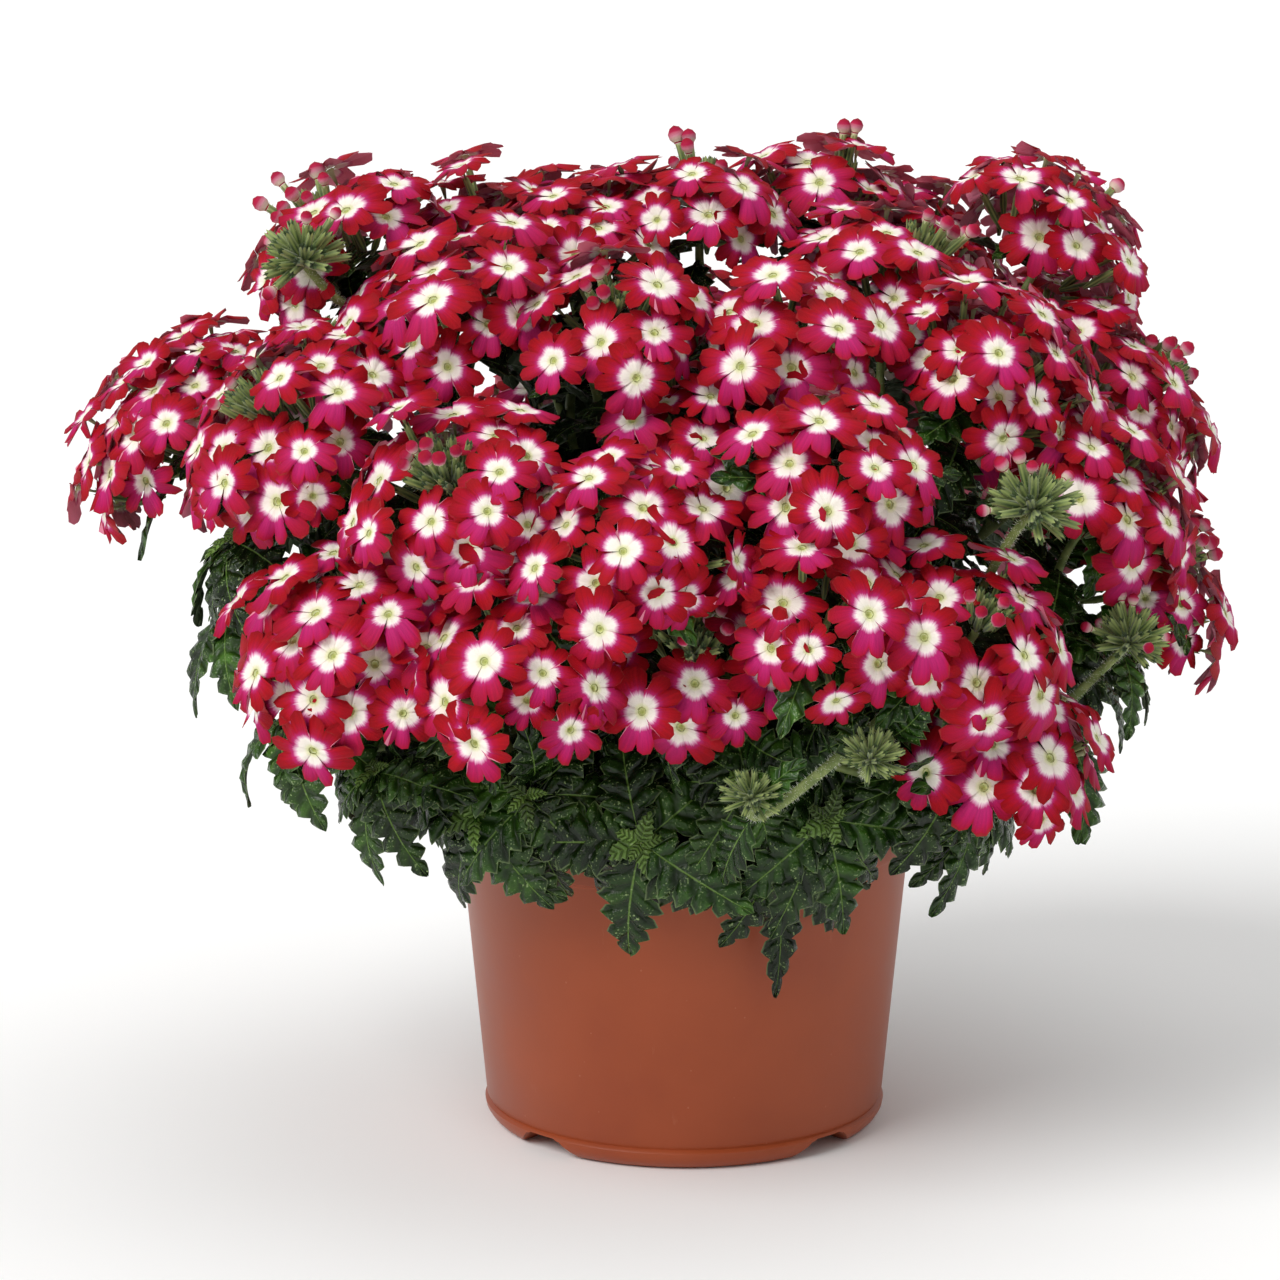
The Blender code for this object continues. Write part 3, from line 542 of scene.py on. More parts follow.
def youngBud(name, draw, collection):
    bm, layer = newShape()
    size = corollaShape["budSize"] * draw.uniform(*corollaShape["budSizes"])
    middle = -draw.uniform(*corollaShape["budDepth"])
    foot = -corollaShape["tubeLength"]
    rows = [(foot, 0, -1.0), (foot, 0.0006, -1.0), (middle - 1.3 * size, 0.00085, -0.2)]
    rows += [(middle + size * share, size * reach, value) for share, reach, value in corollaShape["budRows"]]
    addTube(bm, layer, 8, rows, lobes=0.03)
    shapeObject(bm, name, collection)


calyxShape = {
    "length": 0.0112,
    "rows": ((-1.0, 0.00050), (-0.62, 0.00104), (0.0, 0.00118)),  # height, radius
    "swell": (0.90, 1.12), "stretch": (0.90, 1.06),
    "grooves": 0.15,  # ribs stand out and grooves lie in by this share of the radius
    "middle": Vector((0, 0, -0.0008)),  # where the teeth meet in the mouth
    "toothLength": 0.0015,
    "toothPinch": 0.45,  # the teeth lean in over the mouth by this share of its radius
    "shapes": 4,  # smooth ones, then as many hairy ones
    "hairs": 16, "hairLength": 0.0013, "hairWidth": 0.00006,
}
smoothKinds = (0, calyxShape["shapes"])
hairyKinds = (calyxShape["shapes"], calyxShape["shapes"])


def addHair(bm, layer, root, way, length):
    across = way.orthogonal().normalized() * calyxShape["hairWidth"]
    ring = [bm.verts.new(root + Matrix.Rotation(2 * pi * k / 3, 3, way) @ across) for k in range(3)]
    tip = bm.verts.new(root + way * length)
    for corners in [(ring[k], ring[(k + 1) % 3], tip) for k in range(3)] + [ring[::-1]]:
        for loop in bm.faces.new(corners).loops:
            loop[layer].uv = (1.0, 1.0)


def calyx(name, draw, hairs, collection):  # a ribbed tube with five teeth, its mouth at the origin
    bm, layer = newShape()
    swell = draw.uniform(*calyxShape["swell"])
    length = calyxShape["length"] * draw.uniform(*calyxShape["stretch"])
    rows = [(share * length, radius * swell, 1 + share) for share, radius in calyxShape["rows"]]
    rings = addTube(bm, layer, 10, [(-length * 1.02, 0, 0.0)] + rows,
                    shade=lambda k: float(k % 2), lobes=calyxShape["grooves"])
    mouth = rings[-1]
    middle = bm.verts.new(calyxShape["middle"])
    for k in range(0, 10, 2):
        left, tip, right = mouth[k], mouth[(k + 1) % 10], mouth[(k + 2) % 10]
        tip.co *= 1 - calyxShape["toothPinch"] * draw.uniform(0.4, 1.2)
        tip.co.z = calyxShape["toothLength"] * draw.uniform(0.7, 1.2)
        for a, b in ((left, tip), (tip, right)):
            for loop in bm.faces.new((a, b, middle)).loops:
                loop[layer].uv = (0.2, 0.4)
    for _ in range(hairs):
        angle, share = draw.uniform(0, 2 * pi), draw.uniform(0.0, 0.7)
        out = onCircle(angle)
        way = (out + upwards * draw.uniform(-0.1, 0.9)).normalized()
        reach = calyxShape["rows"][-1][1] * swell * 0.9
        addHair(bm, layer, out * reach - upwards * (share * length), way,
                calyxShape["hairLength"] * draw.uniform(0.6, 1.1))
    shapeObject(bm, name, collection)


leafShape = {
    "stalk": 0.12,  # share of the leaf's length before the first tooth
    "teeth": 6,
    # For the leaves inside the plant and for those in view: how deep the teeth are cut, as a share
    # of the half width, then places in a tooth with the share of the cut there.
    "depth": (0.34, 0.56),
    "samples": (((0.0, 1.0), (0.52, 0.02)),
                ((0.0, 1.0), (0.14, 0.52), (0.34, 0.36), (0.62, 0.0), (0.80, 0.24))),
    "outline": ((0.0, 0.06), (0.10, 0.14), (0.20, 0.66), (0.32, 0.98), (0.40, 1.0), (0.58, 0.88),
                (0.74, 0.66), (0.88, 0.40), (0.96, 0.20), (1.0, 0.03)),
    "toothDepths": (0.75, 1.12),
    "draws": ((0.010, 0.024), (0, 6), (-0.10, 0.10)),  # height of the waves, their phase, sideways bend
    "fold": 0.30, "thickness": 0.011,
    "ribThickness": 1.6,  # times the blade's
    "quilt": 0.036,  # the blade's rise between two side veins, share of its length
    "widthShare": 0.50, "bends": (0.55, 0.80, 1.05, 1.45), "drawsPerBend": 3,
    "columns": ((-1.0, -0.55, 0.0, 0.55, 1.0), (-1.0, -0.62, -0.30, 0.0, 0.30, 0.62, 1.0)),
}


def veinPhase(share, across):  # whole numbers between two side veins, halves on one
    stalk = leafShape["stalk"]
    return leafShape["teeth"] * (share - stalk) / (1 - stalk) + 0.98 - across


def outlineAt(share):
    points = leafShape["outline"]
    for (lowShare, lowReach), (highShare, highReach) in zip(points, points[1:]):
        if share <= highShare:
            part = (share - lowShare) / (highShare - lowShare)
            return lowReach + (highReach - lowReach) * (part * part * (3 - 2 * part))
    return points[-1][1]


def leafStations(draw, grade):  # (share of the length, how deep each side is cut there)
    stalk, teeth = leafShape["stalk"], leafShape["teeth"]
    stations = [(0.0, 0.0, 0.0)]
    for tooth in range(teeth):
        left, right = [draw.uniform(*leafShape["toothDepths"]) for _ in (0, 1)]
        for place, cut in leafShape["samples"][grade]:
            share = stalk + (1 - stalk) * (tooth + place) / teeth
            depth = leafShape["depth"][grade] * cut if tooth else 0.3 * cut
            stations.append((share, depth * left, depth * right))
    return stations + [(1.0, 0.0, 0.0)]


def leafBlade(name, draw, bend, grade, collection):  # one unit long along X, its upper face up
    bm, layer = newShape()
    under = bm.faces.layers.float.new("under")
    stations = leafStations(draw, grade)
    columns = leafShape["columns"][grade]
    wave, phase, sway = [draw.uniform(*span) for span in leafShape["draws"]]

    def pointAt(i, j):
        share, *cuts = stations[i]
        column = columns[j]
        side, angle, reach = abs(column), bend * share, outlineAt(share)
        cut = cuts[column > 0]
        y = column * reach * (1 - (cut if side == 1 else 0.55 * cut))
        y *= leafShape["widthShare"] / 2
        rise = abs(y) * leafShape["fold"] * (1 - 1.1 * column * column)
        pucker = 0.5 + 0.5 * cos(2 * pi * veinPhase(share, side))
        rise += leafShape["quilt"] * pucker * reach * (1 - side) * 2 * side
        rise += wave * sin(11 * share + phase + 2 * column) * side
        point = Vector((sin(angle) / bend + sin(angle) * rise, y + sway * share * share,
                        cos(angle) * rise - (1 - cos(angle)) / bend))
        drop = Vector((-sin(angle), 0, -cos(angle))) * leafShape["thickness"]
        inside = side < 1 and 0 < share < 1
        return point, drop * (leafShape["ribThickness"] if column == 0 else 1.0) if inside else None

    addSheet(bm, layer, under, (len(stations), len(columns)), pointAt,
             lambda i, j: ((columns[j] + 1) / 2, stations[i][0]))
    shapeObject(bm, name, collection)


def makeShapes():
    shapes = {name: bpy.data.collections.new(name) for name in ("corollas", "calyxes", "leaves")}
    draw = random.Random(4)
    for k in range(corollaShape["open"]):
        corolla(f"corolla{k:02d}", draw, k == corollaShape["open"] - 1, shapes["corollas"])
    for k in range(corollaShape["young"]):
        youngBud(f"corollaBud{k:02d}", draw, shapes["corollas"])
    for k in range(2 * calyxShape["shapes"]):
        hairs = calyxShape["hairs"] if k >= calyxShape["shapes"] else 0
        calyx(f"calyx{k:02d}", draw, hairs, shapes["calyxes"])
    kinds = [(grade, bend) for grade in (0, 1) for bend in leafShape["bends"]
             for _ in range(leafShape["drawsPerBend"])]
    for k, (grade, bend) in enumerate(kinds):
        leafBlade(f"leaf{k:02d}", draw, bend, grade, shapes["leaves"])
    return shapes


# Geometry Nodes trees

def spotTree():
    # A shape on each point, turned, sized and chosen by the point's own values.
    tree, add, given = newTree("Shapes on spots", [
        ("Shapes", "Collection", None), ("Finish", "Material", None), ("Size", "Float", 1.0)])
    turn = add("EulerToRotation", add("InputNamedAttribute FLOAT_VECTOR", "turn"))
    size = add("VectorMath SCALE", add("InputNamedAttribute FLOAT_VECTOR", "size"), given["Size"])
    kind = add("InputNamedAttribute INT", "kind")
    shapes = add("CollectionInfo", given["Shapes"], True, True)
    placed = add("InstanceOnPoints", given["Geometry"], True, shapes, True, kind, turn, size)
    real = add("RealizeInstances", placed)
    add("GroupOutput", add("SetMaterial", real, Material=given["Finish"]))
    return tree


def stemTree():
    # Four-angled skin along each line, thick as the line's points say, with hairs all over it.
    tree, add, given = newTree("Hairy stems", [
        ("Finish", "Material", None), ("Angles", "Float", 0.10), ("Hairs Per Square Metre", "Float", 1.6e6),
        ("Hair Length", "Float", 0.0010), ("Hair Width", "Float", 0.00006), ("Seed", "Int", 5)])
    odd = add("Math MODULO", add("InputIndex"), 2.0)
    swell = add("Math MULTIPLY_ADD", odd, given["Angles"], 0.95)
    square = add("VectorMath SCALE", add("InputPosition"), swell)
    profile = add("SetPosition", add("CurvePrimitiveCircle", 8, 1.0), Position=square)
    thick, downy = [add("InputNamedAttribute FLOAT", name) for name in ("thick", "downy")]
    skin = add("CurveToMesh", add("MeshToCurve", given["Geometry"]), profile, thick, True)
    skin = add("SetShadeSmooth", skin)
    density = add("Math MULTIPLY", downy, given["Hairs Per Square Metre"])
    roots = add("DistributePointsOnFaces", skin, Density=density, Seed=given["Seed"]).outputs
    lean = add("RandomValue FLOAT_VECTOR", (-0.5, -0.5, 0.0), (0.5, 0.5, 6.0), Seed=given["Seed"])
    lean = add("RotateRotation", roots["Rotation"], add("EulerToRotation", lean), rotation_space="LOCAL")
    spike = add("MeshCone", fill_type="NONE", Vertices=3, Depth=given["Hair Length"],
                **{"Radius Top": 0.0, "Radius Bottom": given["Hair Width"]})
    hairs = add("InstanceOnPoints", roots["Points"], Instance=spike, Rotation=lean)
    hairs = add("StoreNamedAttribute FLOAT", add("RealizeInstances", hairs), True, "hair", 1.0)
    both = add("JoinGeometry", skin)
    tree.links.new(hairs.outputs[0], both.inputs[0])
    add("GroupOutput", add("SetMaterial", both, Material=given["Finish"]))
    return tree


# Flower heads, each where its CAD node is

headPlan = {
    "front": [  # places in millimetres, here and in the lists below
        (-96, -8, 247), (-62, 20, 246), (-142, -7, 197), (-106, -62, 206), (-64, -50, 235), (-20, -70, 235),
        (4, 2, 254), (-31, 45, 244), (43, 37, 251), (60, -14, 237), (103, 20, 244), (30, -68, 231),
        (83, -56, 220), (123, 4, 204), (114, -46, 186), (-60, -104, 198), (-15, -119, 188), (1, -76, 205),
        (39, -106, 205), (-91, -100, 157), (-45, -118, 158), (1, -103, 154), (36, -118, 170),
        (73, -108, 162), (85, -92, 128), (127, -11, 158),
    ],
    "crown": [(-34, -14, 247), (-50, 76, 230), (66, 66, 235)],
    "backSpacing": 0.046,  # a head copied half round the pot keeps this far from the others
    "backDepth": 0.03,  # and behind the pot's middle
    "radius": 0.0262, "leastRadius": 0.018, "leanReach": 0.14, "coreShare": 0.36, "coreInradius": 0.7947,
    "seatGap": 0.0003,
    "wide": 1.20,  # the florets' dome, across its axis and along it, as shares of the head's radius
    "tall": 0.84,
    "sink": 0.10,  # the dome's middle lies this far down the axis, a share of the radius
    "outside": 0.82,  # the dome is this much shallower on the side away from the pot's axis
    "dents": 0.26,  # how far the dome swells and dents, and how fast that changes round it
    "dentTurn": 1.4,
    "spread": 1.70,  # radians from the head's axis to its lowest florets
    "floretSpacing": 0.0128,
    "levels": (-0.0028, -0.0014, 0.0, 0.0014, 0.0028),  # florets side by side keep off one another's level
    "neighbourReach": 0.019, "sizes": (0.88, 1.10),
    "toAxis": 0.34,  # how far a floret turns from the dome's way to the head's own
    "lean": 0.15,  # radians that a floret may face off its place
    "strays": (0.08, 0.0018),  # share of the florets that stand out, and how far
    "calyxLap": 0.0012,  # of a floret's tube in its calyx
    "youngShare": 0.35,  # of the heads have a green middle of buds still to open
    "youngSpread": (0.40, 0.62), "youngSpacing": 0.0042,
    "youngDepth": 0.003,  # below the dome's top
    "youngRise": (-0.0015, 0.0020), "pinkShare": 0.30,
    "budLength": 0.0062,  # from a calyx's mouth to the middle of its bud
    "budded": {1: 3, 7: 3, 9: 3, 10: 2, 11: 1},  # heads with single pink buds that stand out on top
    "budRise": (0.000, 0.005), "budStray": 0.45, "buddedLength": 0.0066, "buddedSize": 1.15,
    "buried": 0.84,  # a floret this far inside the next head's dome isn't there
}


def inMetres(place):
    return Vector([part / 1000 for part in place])


def headPlaces():
    front = [inMetres(place) for place in headPlan["front"]]
    places = front + [inMetres(place) for place in headPlan["crown"]]
    for place in front:
        back = Vector((-place.x, -place.y, place.z))
        nearest = min((back - other).length for other in places)
        if back.y > headPlan["backDepth"] and nearest > headPlan["backSpacing"]:
            places.append(back)
    return places


def headRadius(places, index):
    nearest = min((places[index] - p).length for i, p in enumerate(places) if i != index)
    return max(headPlan["leastRadius"], min(headPlan["radius"], nearest / 2))


def headAxis(place):
    return Vector((place.x / headPlan["leanReach"], place.y / headPlan["leanReach"], 1)).normalized()


def headSeat(place, radius):
    inradius = headPlan["coreInradius"] * radius * headPlan["coreShare"]
    axis = headAxis(place)
    return place - axis * (inradius + headPlan["seatGap"]), axis


def turnTo(normal, spin=0.0, lean=(0.0, 0.0)):  # faces the normal, its top petal as high as it can be
    up = upwards - normal * normal.z
    if up.length < 0.05:
        up = Vector((0, 1, 0)) - normal * normal.y
    up.normalize()
    turn = Matrix((up.cross(normal), up, normal)).transposed()
    for angle, axis in ((spin, "Z"), (lean[0], "X"), (lean[1], "Y")):
        turn = turn @ Matrix.Rotation(angle, 3, axis)
    return turn


def spiralRays(draw, count, least, most, stray):  # rays round the Z axis by the golden angle
    for k in range(count):
        rise = cos(least) + (cos(most) - cos(least)) * ((k + 0.5) / count)
        ray = onCircle(goldenAngle * k, sqrt(1 - rise * rise), rise)
        yield (ray + Vector([draw.uniform(-stray, stray) for _ in range(3)])).normalized()


def spacedLevel(draw, spot, others):  # the level furthest from those beside it
    near = [other["level"] for other in others if (other["place"] - spot).length < headPlan["neighbourReach"]]
    order = draw.sample(headPlan["levels"], len(headPlan["levels"]))
    return max(order, key=lambda level: min([abs(level - other) for other in near], default=1))


def capArea(radius, least, most):
    return 2 * pi * radius * radius * (cos(least) - cos(most))


def flowerHead(number, places, radii, kit):
    plan = headPlan
    draw = random.Random(f"head {number}")
    seat, radius = places[number - 1], radii[number - 1]
    others = [(places[k], radii[k]) for k in range(len(places)) if k != number - 1]
    place = seat - headAxis(seat) * radius * plan["sink"]
    turn = headAxis(seat).to_track_quat("Z", "Y").to_matrix()
    outwards = Vector((place.x, place.y, 0)).normalized()
    wide, tall = radius * plan["wide"], radius * plan["tall"]
    deep = tall / (plan["radius"] * plan["tall"])
    lean = plan["lean"]
    young = draw.uniform(*plan["youngSpread"]) if draw.random() < plan["youngShare"] else 0.0
    count = round(capArea((wide + tall) / 2, young, plan["spread"]) / plan["floretSpacing"] ** 2)
    florets, greens = [], []
    for ray in spiralRays(draw, count, young, plan["spread"], 0.09):
        dent = noise.noise(ray * plan["dentTurn"] + Vector((9.1 * number, 0, 0)))
        local = Vector((ray.x * wide, ray.y * wide, ray.z * tall)) * (1 + plan["dents"] * dent)
        normal = (turn @ Vector((ray.x / wide, ray.y / wide, ray.z / tall))).normalized()
        local = turn @ local
        spot = place + local - outwards * max(0.0, local.dot(outwards)) * (1 - plan["outside"])
        if any((spot - other).length < size * plan["buried"] for other, size in others):
            continue
        level = spacedLevel(draw, spot, florets)
        if draw.random() < plan["strays"][0]:
            level += plan["strays"][1]
        limb = normal.lerp(turn.col[2], plan["toAxis"]).normalized()
        facing = turnTo(limb, draw.uniform(-0.5, 0.5), (draw.uniform(-lean, lean), draw.uniform(-lean, lean)))
        size, tint = draw.uniform(*plan["sizes"]), draw.random()
        outer = spot + normal * level
        inner = outer - facing.col[2] * (corollaShape["tubeLength"] - plan["calyxLap"]) * size * deep
        floret = newSpot(draw, outer, facing, (size, size, size * deep), openKinds, tint)
        florets.append({**floret, "level": level})
        greens.append(newSpot(draw, inner, facing, (1, 1, deep), smoothKinds, tint))
    if young:
        count = round(capArea(tall, 0, young) / plan["youngSpacing"] ** 2)
        for ray in spiralRays(draw, count, 0.0, young, 0.04):
            spot = place + turn @ (ray * (tall - plan["youngDepth"] + draw.uniform(*plan["youngRise"])))
            facing = turnTo((turn @ ray).normalized(), draw.uniform(0, 6), (draw.uniform(-0.1, 0.1), 0.0))
            greens.append(newSpot(draw, spot, facing, (1, 1, deep), hairyKinds))
            if draw.random() < plan["pinkShare"]:
                bud = spot + facing.col[2] * plan["budLength"]
                florets.append(newSpot(draw, bud, facing, (1, 1, 1), youngKinds))
    for _ in range(plan["budded"].get(number, 0)):
        stray = [draw.uniform(-plan["budStray"], plan["budStray"]) for _ in range(2)]
        way = (turn @ Vector((*stray, 1))).normalized()
        spot = place + way * (tall + draw.uniform(*plan["budRise"]))
        facing = turnTo(way, draw.uniform(0, 6))
        greens.append(newSpot(draw, spot, facing, (1, 1, 1), hairyKinds))
        bud = spot + way * plan["buddedLength"]
        florets.append(newSpot(draw, bud, facing, (plan["buddedSize"],) * 3, youngKinds))
    head = joined(f"flower_head_{number:02d}_florets", [
        growShapes(kit, "corollas", f"petals{number}", florets),
        growShapes(kit, "calyxes", f"calyxes{number}", greens)])
    placePiece(head, f"flower_head_{number:02d}")
    return len(florets)


# Stems, along the same lines as the frame's

stemPlan = {
    "soilLevel": 0.084, "footRise": 0.004, "holeDepth": 0.020, "radius": 0.0016, "sideRadius": 0.0013,
    "trunkPoints": 5, "sidePoints": 4, "neck": 0.004, "bend": 0.38, "crownShare": 0.30, "forkShare": 0.55,
    "budShare": 0.70, "tipShare": 0.27, "forkAngleShare": 0.5, "tries": 200, "loosestTry": 40,
    "leafShares": (0.82, 0.66, 0.48), "steps": {"trunk": 26, "side": 16},
    # How far a loose try may be from the plan.
    "footStray": (-0.13, 0.13), "footSpin": (-0.5, 0.5), "trunkBend": (-0.20, 0.24),
    "forkStray": (-0.22, 0.16), "forkBend": (-0.24, 0.15),
    "trunk": (0.0017, 0.0012, 0.15),  # thickness at the foot and at the end, share of the hairs
    "fork": (0.0014, 0.0011, 0.15), "bud": (0.0014, 0.0012, 1.0), "shoot": (0.0014, 0.0010, 0.3),
    "budPlaces": [  # place, size, and the share of its calyxes that hold a pink bud
        ((-101, -42, 247), 1.0, 0.15), ((16, -122, 122), 0.68, 0.0), ((46, -122, 132), 0.72, 0.0),
        ((88, -98, 192), 1.0, 0.10), ((116, -68, 150), 0.9, 0.12), ((-108, 92, 200), 1.0, 0.15),
        ((52, 136, 152), 0.9, 0.12),
    ],
    "skirtTips": [  # degrees from the front, reach and height
        (-8, 88, 101), (24, 90, 106), (58, 92, 104), (96, 90, 110), (132, 88, 102), (168, 90, 106),
        (206, 90, 102), (244, 90, 108), (284, 94, 112), (322, 90, 104),
    ],
}


class StemLine:  # a cubic curve, then a short straight neck square to what it carries
    def __init__(self, start, startWay, end, endWay, count, bend):
        handle = (end - start).length * bend
        neck = end - endWay * stemPlan["neck"]
        self.corners = (start, start + startWay * handle, neck - endWay * handle, neck)
        self.end = end
        self.points = self.skin(count - 1)

    def smooth(self, t):
        a, b, c, d = self.corners
        s = 1 - t
        return a * s**3 + b * 3 * s * s * t + c * 3 * s * t * t + d * t**3

    def skin(self, steps):
        return [self.smooth(k / steps) for k in range(steps + 1)] + [self.end]

    def runAt(self, share):
        place = share * (len(self.points) - 1)
        run = min(int(place), len(self.points) - 2)
        return run, place - run

    def at(self, share):
        run, rest = self.runAt(share)
        return self.points[run].lerp(self.points[run + 1], rest)

    def way(self, share):
        run, _ = self.runAt(share)
        return (self.points[run + 1] - self.points[run]).normalized()

    def smoothAt(self, share):
        run, rest = self.runAt(share)
        if run == len(self.points) - 2:
            return self.at(share)
        return self.smooth((run + rest) / (len(self.points) - 2))


def pairUp(places):
    free = sorted(range(len(places)), key=lambda i: -places[i].xy.length)
    pairs = []
    while free:
        first = free.pop(0)
        second = sorted(free, key=lambda i: (places[i] - places[first]).length)[:1]
        free = [i for i in free if i not in second]
        pairs.append((first, *second))
    return pairs


def sideStem(trunk, share, end, way, draw, loose):
    share += draw.uniform(*stemPlan["forkStray"]) * loose
    start = trunk.at(share)
    startWay = trunk.way(share).lerp((end - start).normalized(), stemPlan["forkAngleShare"])
    bend = stemPlan["bend"] + draw.uniform(*stemPlan["forkBend"]) * loose
    return StemLine(start, startWay.normalized(), end, way, stemPlan["sidePoints"], bend)


def mainStem(places, radii, pair, draw, loose):  # with its forks
    middle = sum((places[i] for i in pair), Vector()) / len(pair)
    crown = stemPlan["crownShare"] + draw.uniform(*stemPlan["footStray"]) * loose
    spin = Matrix.Rotation(draw.uniform(*stemPlan["footSpin"]) * loose, 3, "Z")
    height = stemPlan["soilLevel"] + stemPlan["footRise"]
    foot = spin @ Vector((middle.x * crown, middle.y * crown, height))
    bend = stemPlan["bend"] + draw.uniform(*stemPlan["trunkBend"]) * loose
    seats = [headSeat(places[i], radii[i]) for i in pair]
    trunk = StemLine(foot, upwards, *seats[0], stemPlan["trunkPoints"], bend)
    return [trunk] + [sideStem(trunk, stemPlan["forkShare"], *seat, draw, loose) for seat in seats[1:]]


def cornersOf(node):  # the CAD node's vertices, measured from the pot's axis
    mesh = frame["nodes"][node].data
    tree = KDTree(len(mesh.vertices))
    for k, vertex in enumerate(mesh.vertices):
        tree.insert(vertex.co - potAxis, k)
    tree.balance()
    return tree


def bestLines(name, corners, radius, lay):  # the try that runs closest to the frame's own stem
    draw = random.Random(name)
    best = None
    for attempt in range(stemPlan["tries"]):
        lines = lay(draw, min(1, attempt / stemPlan["loosestTry"]))
        fit = sum(abs(corners.find(point)[2] - radius) for point in lines[0].points[1:-1])
        if best is None or fit < best[0]:
            best = (fit, lines)
    return best


def skirtPlace(tip):
    degrees, reach, height = tip
    return onCircle(radians(degrees - 90), reach / 1000, height / 1000)


def skirtWay(tip, flank=0.0):
    out = skirtPlace(tip).xy.normalized()
    return Vector((out.x, out.y, 0.25 + flank * out.x * out.x)).normalized()


# Leaves

leafPlan = {
    "length": 0.036, "width": 0.019, "sink": 0.0009, "tries": 10,
    "frameDraws": ((0.88, 1.10), (0.90, 1.10), (0.55, 1.15)),  # length, width and bend
    "tryStray": (0.12, 0.14), "tryShrink": 0.035,
    "sizes": (0.85, 1.12),  # of the new leaves
    "match": 0.0002,  # a try is the frame's own leaf if its tip is this near one of its corners
    "paintedShade": (0.072, 0.026),  # leaves nearer the axis than this are painted darker, painted shade from the plant over them
}


def leafFrame(base, stemWay, turn, lift, length, width, bend):
    level = stemWay.cross(upwards)
    if level.length < 0.05:
        level = Vector((1, 0, 0))
    side = Matrix.Rotation(turn, 3, stemWay) @ level.normalized()
    along = (side * cos(lift) + stemWay * sin(lift)).normalized()
    face = (stemWay - along * stemWay.dot(along)).normalized()
    return {"base": base - along * leafPlan["sink"], "along": along, "face": face,
            "length": length, "width": width, "bend": bend}


def leafTip(leaf):
    bend, length = leaf["bend"], leaf["length"]
    return (leaf["base"] + leaf["along"] * length * sin(bend) / bend
            - leaf["face"] * length * (1 - cos(bend)) / bend)


def frameLeaf(name, line, share, wayShare, turn, lift, size, corners):
    # The leaf that the frame holds at this place, moved onto the smooth stem, if there is one.
    draw = random.Random(name)
    length, width, bend = [draw.uniform(*span) for span in leafPlan["frameDraws"]]
    length, width = leafPlan["length"] * size * length, leafPlan["width"] * size * width
    for k in range(leafPlan["tries"]):
        swing, dip = [draw.uniform(-most, most) * (k + 1) for most in leafPlan["tryStray"]]
        shrink = 1 - leafPlan["tryShrink"] * k
        leaf = leafFrame(line.at(share), line.way(wayShare), turn + swing, lift + dip,
                         length * shrink, width * shrink, bend)
        if corners.find(leafTip(leaf))[2] < leafPlan["match"]:
            leaf["base"] += line.smoothAt(share) - line.at(share)
            return [{**leaf, "grade": 1}]
    return []


def newLeaf(draw, line, share, turn, lift, size, bends=(0.55, 1.45), young=0.0, grade=0):
    length, width = [leafPlan[key] * size * draw.uniform(*leafPlan["sizes"]) for key in ("length", "width")]
    leaf = leafFrame(line.smoothAt(share), line.way(share), turn, lift, length, width, draw.uniform(*bends))
    return {**leaf, "young": young, "grade": grade}


def leafSpots(leaves, draw):
    spots = []
    bends, drawn = leafShape["bends"], leafShape["drawsPerBend"]
    paintedShadeReach, fade = leafPlan["paintedShade"]
    for leaf in leaves:
        turn = Matrix((leaf["along"], leaf["face"].cross(leaf["along"]), leaf["face"])).transposed()
        nearest = min(range(len(bends)), key=lambda k: abs(bends[k] - leaf["bend"]))
        nearest += leaf["grade"] * len(bends)
        wide = leaf["width"] / leafShape["widthShare"]
        # Painted shade: leaves whose tips lie near the axis get a lower tint, which the leaf finish paints
        # darker.
        outer = min(1.0, max(0.0, (leafTip(leaf).xy.length - paintedShadeReach) / fade))
        tint = draw.random() * (0.2 + 0.8 * outer)
        spot = newSpot(draw, leaf["base"], turn, (leaf["length"], wide, leaf["length"]),
                       (nearest * drawn, drawn), leaf.get("tint", tint))
        spots.append({**spot, "young": leaf.get("young", 0.0)})
    return spots


def stemLines(name, lines):  # (points, thickness at the foot and at the end, share of the hairs)
    places, edges, values = [], [], {"thick": [], "downy": []}
    for points, low, high, hairs in lines:
        first, last = len(places), len(points) - 1
        places += points
        edges += [(first + k, first + k + 1) for k in range(last)]
        values["thick"] += [low + (high - low) * k / last for k in range(last + 1)]
        values["downy"] += [hairs] * len(points)
    mesh = bpy.data.meshes.new(name)
    mesh.from_pydata(places, edges, [])
    for key, numbers in values.items():
        mesh.attributes.new(key, "FLOAT", "POINT").data.foreach_set("value", numbers)
    return mesh


